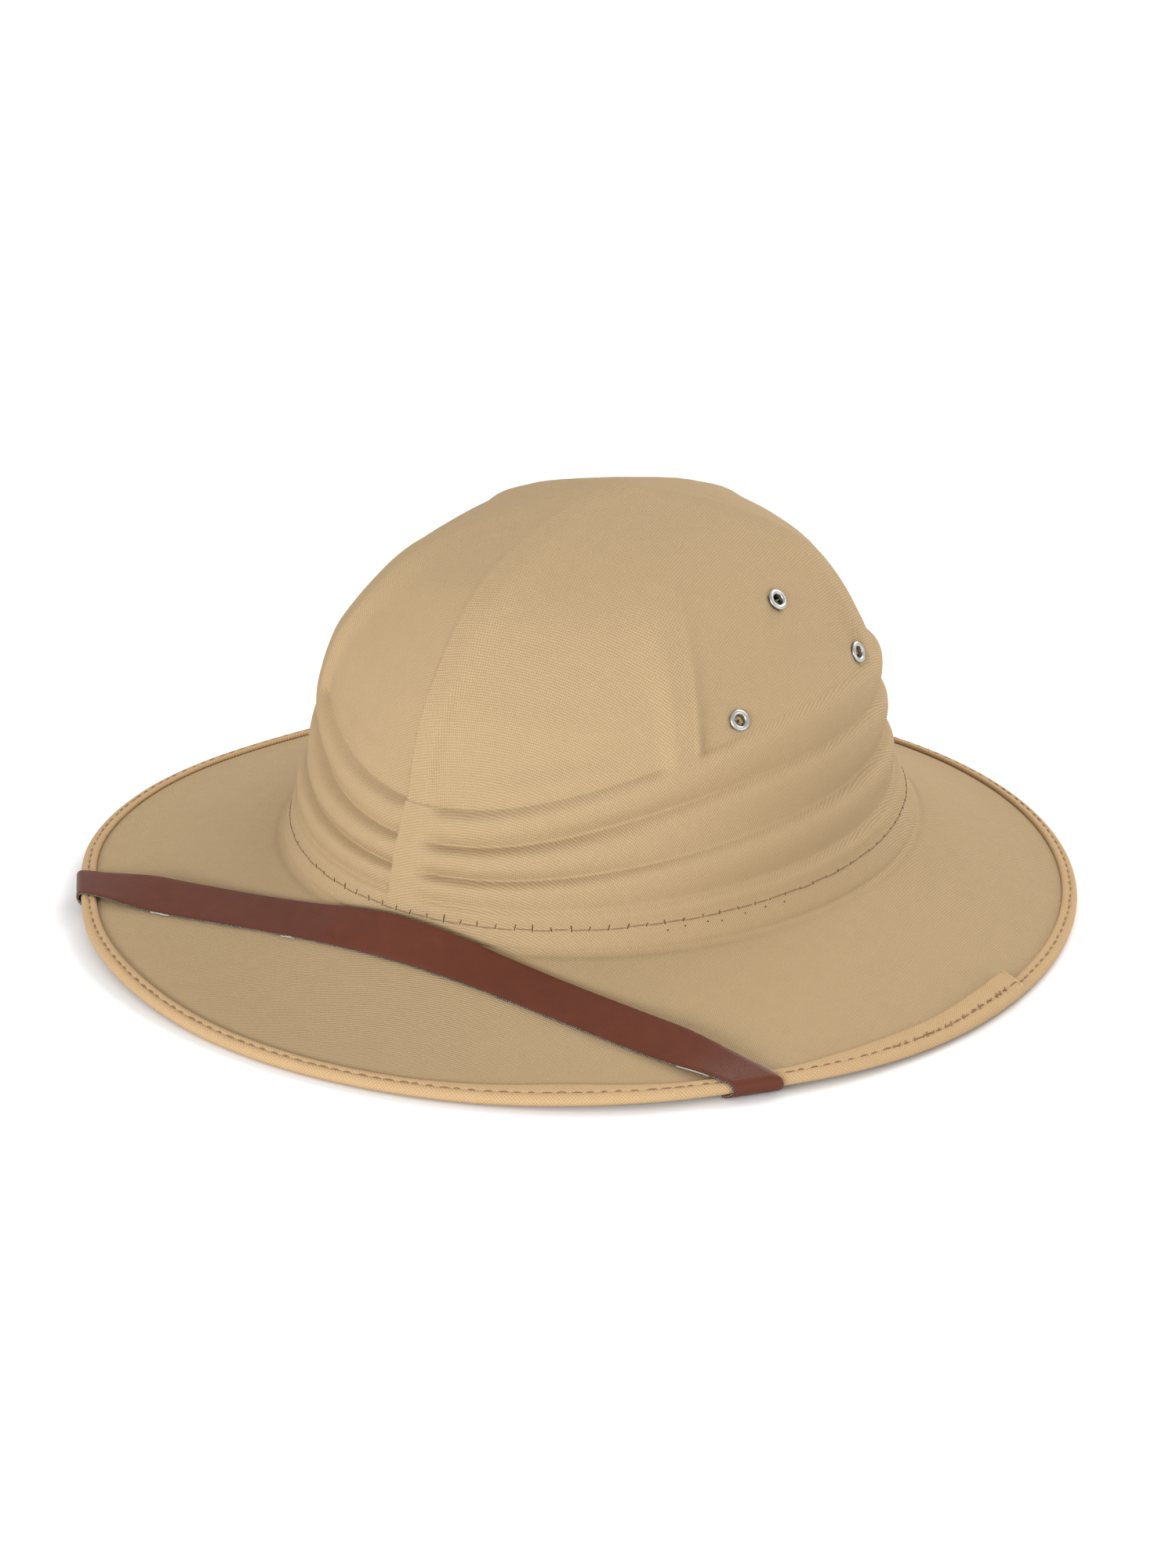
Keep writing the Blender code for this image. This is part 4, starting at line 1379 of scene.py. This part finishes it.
class HAT_OT_shell(bpy.types.Operator):
    """Crown and brim of moulded twill"""

    bl_idname = "hat.shell"
    bl_label = "Moulded Shell"

    def execute(self, context):
        sizes = context.scene.hat_sizes
        color = tuple(context.scene.hat_colors.cloth)
        build_shell(sizes, woven_cloth("khaki twill", color, sizes.weave_pitch, -11.0 * DEG))
        return {"FINISHED"}


class HAT_OT_binding(bpy.types.Operator):
    """Tape folded over the brim's edge"""

    bl_idname = "hat.binding"
    bl_label = "Brim Binding"

    def execute(self, context):
        sizes = context.scene.hat_sizes
        color = tuple(context.scene.hat_colors.tape)
        build_binding(woven_cloth("bias tape", color, sizes.tape_weave_pitch, 45.0 * DEG))
        return {"FINISHED"}


class HAT_OT_strap(bpy.types.Operator):
    """Strap over the brim with its frayed cloth backing"""

    bl_idname = "hat.strap"
    bl_label = "Chin Strap"

    def execute(self, context):
        colors = context.scene.hat_colors
        build_strap(strap_vinyl(tuple(colors.strap)), strap_backing(tuple(colors.backing)))
        build_strap_frays(sewing_thread("pale frays", tuple(colors.fray)))
        return {"FINISHED"}


class HAT_OT_eyelets(bpy.types.Operator):
    """Rolled metal eyelets of both side panels"""

    bl_idname = "hat.eyelets"
    bl_label = "Eyelets"

    def execute(self, context):
        colors = context.scene.hat_colors
        metal = eyelet_metal(tuple(colors.metal))
        for name, place in eyelet_places():
            build_eyelet(name, place, metal)
        # The lint's colour is the cloth's lightened 1.6 times: painted light so the threads read lit inside
        # the shaded bores
        build_eyelet_lint(sewing_thread("torn cloth", toned(colors.cloth, 1.6)))
        return {"FINISHED"}


class HAT_OT_stitches(bpy.types.Operator):
    """Stitches round the crown's foot and along the binding"""

    bl_idname = "hat.stitches"
    bl_label = "Stitches"

    def execute(self, context):
        sizes = context.scene.hat_sizes
        colors = context.scene.hat_colors
        thread = sewing_thread("brown thread", tuple(colors.thread))
        # The needle marks are painted shade: a darker copy of the thread's colour for the shaded holes
        build_crown_stitches(sizes, thread, sewing_thread("needle marks", tuple(colors.needle)))
        build_tape_stitches(sizes, thread, sewing_thread("cut end", toned(colors.tape, 1.3)))
        return {"FINISHED"}


class HAT_OT_stage(bpy.types.Operator):
    """Floor, lights and camera"""

    bl_idname = "hat.stage"
    bl_label = "Studio"

    def execute(self, context):
        build_stage(context.scene.hat_studio)
        build_camera()
        return {"FINISHED"}


STEPS = (HAT_OT_stage, HAT_OT_shell, HAT_OT_binding, HAT_OT_strap, HAT_OT_eyelets, HAT_OT_stitches)


class HAT_PT_panel(bpy.types.Panel):
    """Hat builder's panel"""

    bl_label = "Safari Hat"
    bl_idname = "HAT_PT_panel"
    bl_space_type = "VIEW_3D"
    bl_region_type = "UI"
    bl_category = "Safari Hat"

    def draw(self, context):
        layout = self.layout
        for step in STEPS:
            layout.operator(step.bl_idname)
        for group in (context.scene.hat_sizes, context.scene.hat_colors, context.scene.hat_studio):
            for name in type(group).__annotations__:
                layout.prop(group, name)


CLASSES = (HatSizes, HatColors, HatStudio) + STEPS + (HAT_PT_panel,)


def register():
    for made in CLASSES:
        bpy.utils.register_class(made)
    bpy.types.Scene.hat_sizes = bpy.props.PointerProperty(type=HatSizes)
    bpy.types.Scene.hat_colors = bpy.props.PointerProperty(type=HatColors)
    bpy.types.Scene.hat_studio = bpy.props.PointerProperty(type=HatStudio)


def unregister():
    del bpy.types.Scene.hat_sizes
    del bpy.types.Scene.hat_colors
    del bpy.types.Scene.hat_studio
    for made in reversed(CLASSES):
        bpy.utils.unregister_class(made)


def main():
    register()
    bpy.ops.object.select_all(action="DESELECT")
    bpy.ops.hat.stage()
    bpy.ops.hat.shell()
    bpy.ops.hat.binding()
    bpy.ops.hat.strap()
    bpy.ops.hat.eyelets()
    bpy.ops.hat.stitches()


if __name__ == "__main__":
    main()
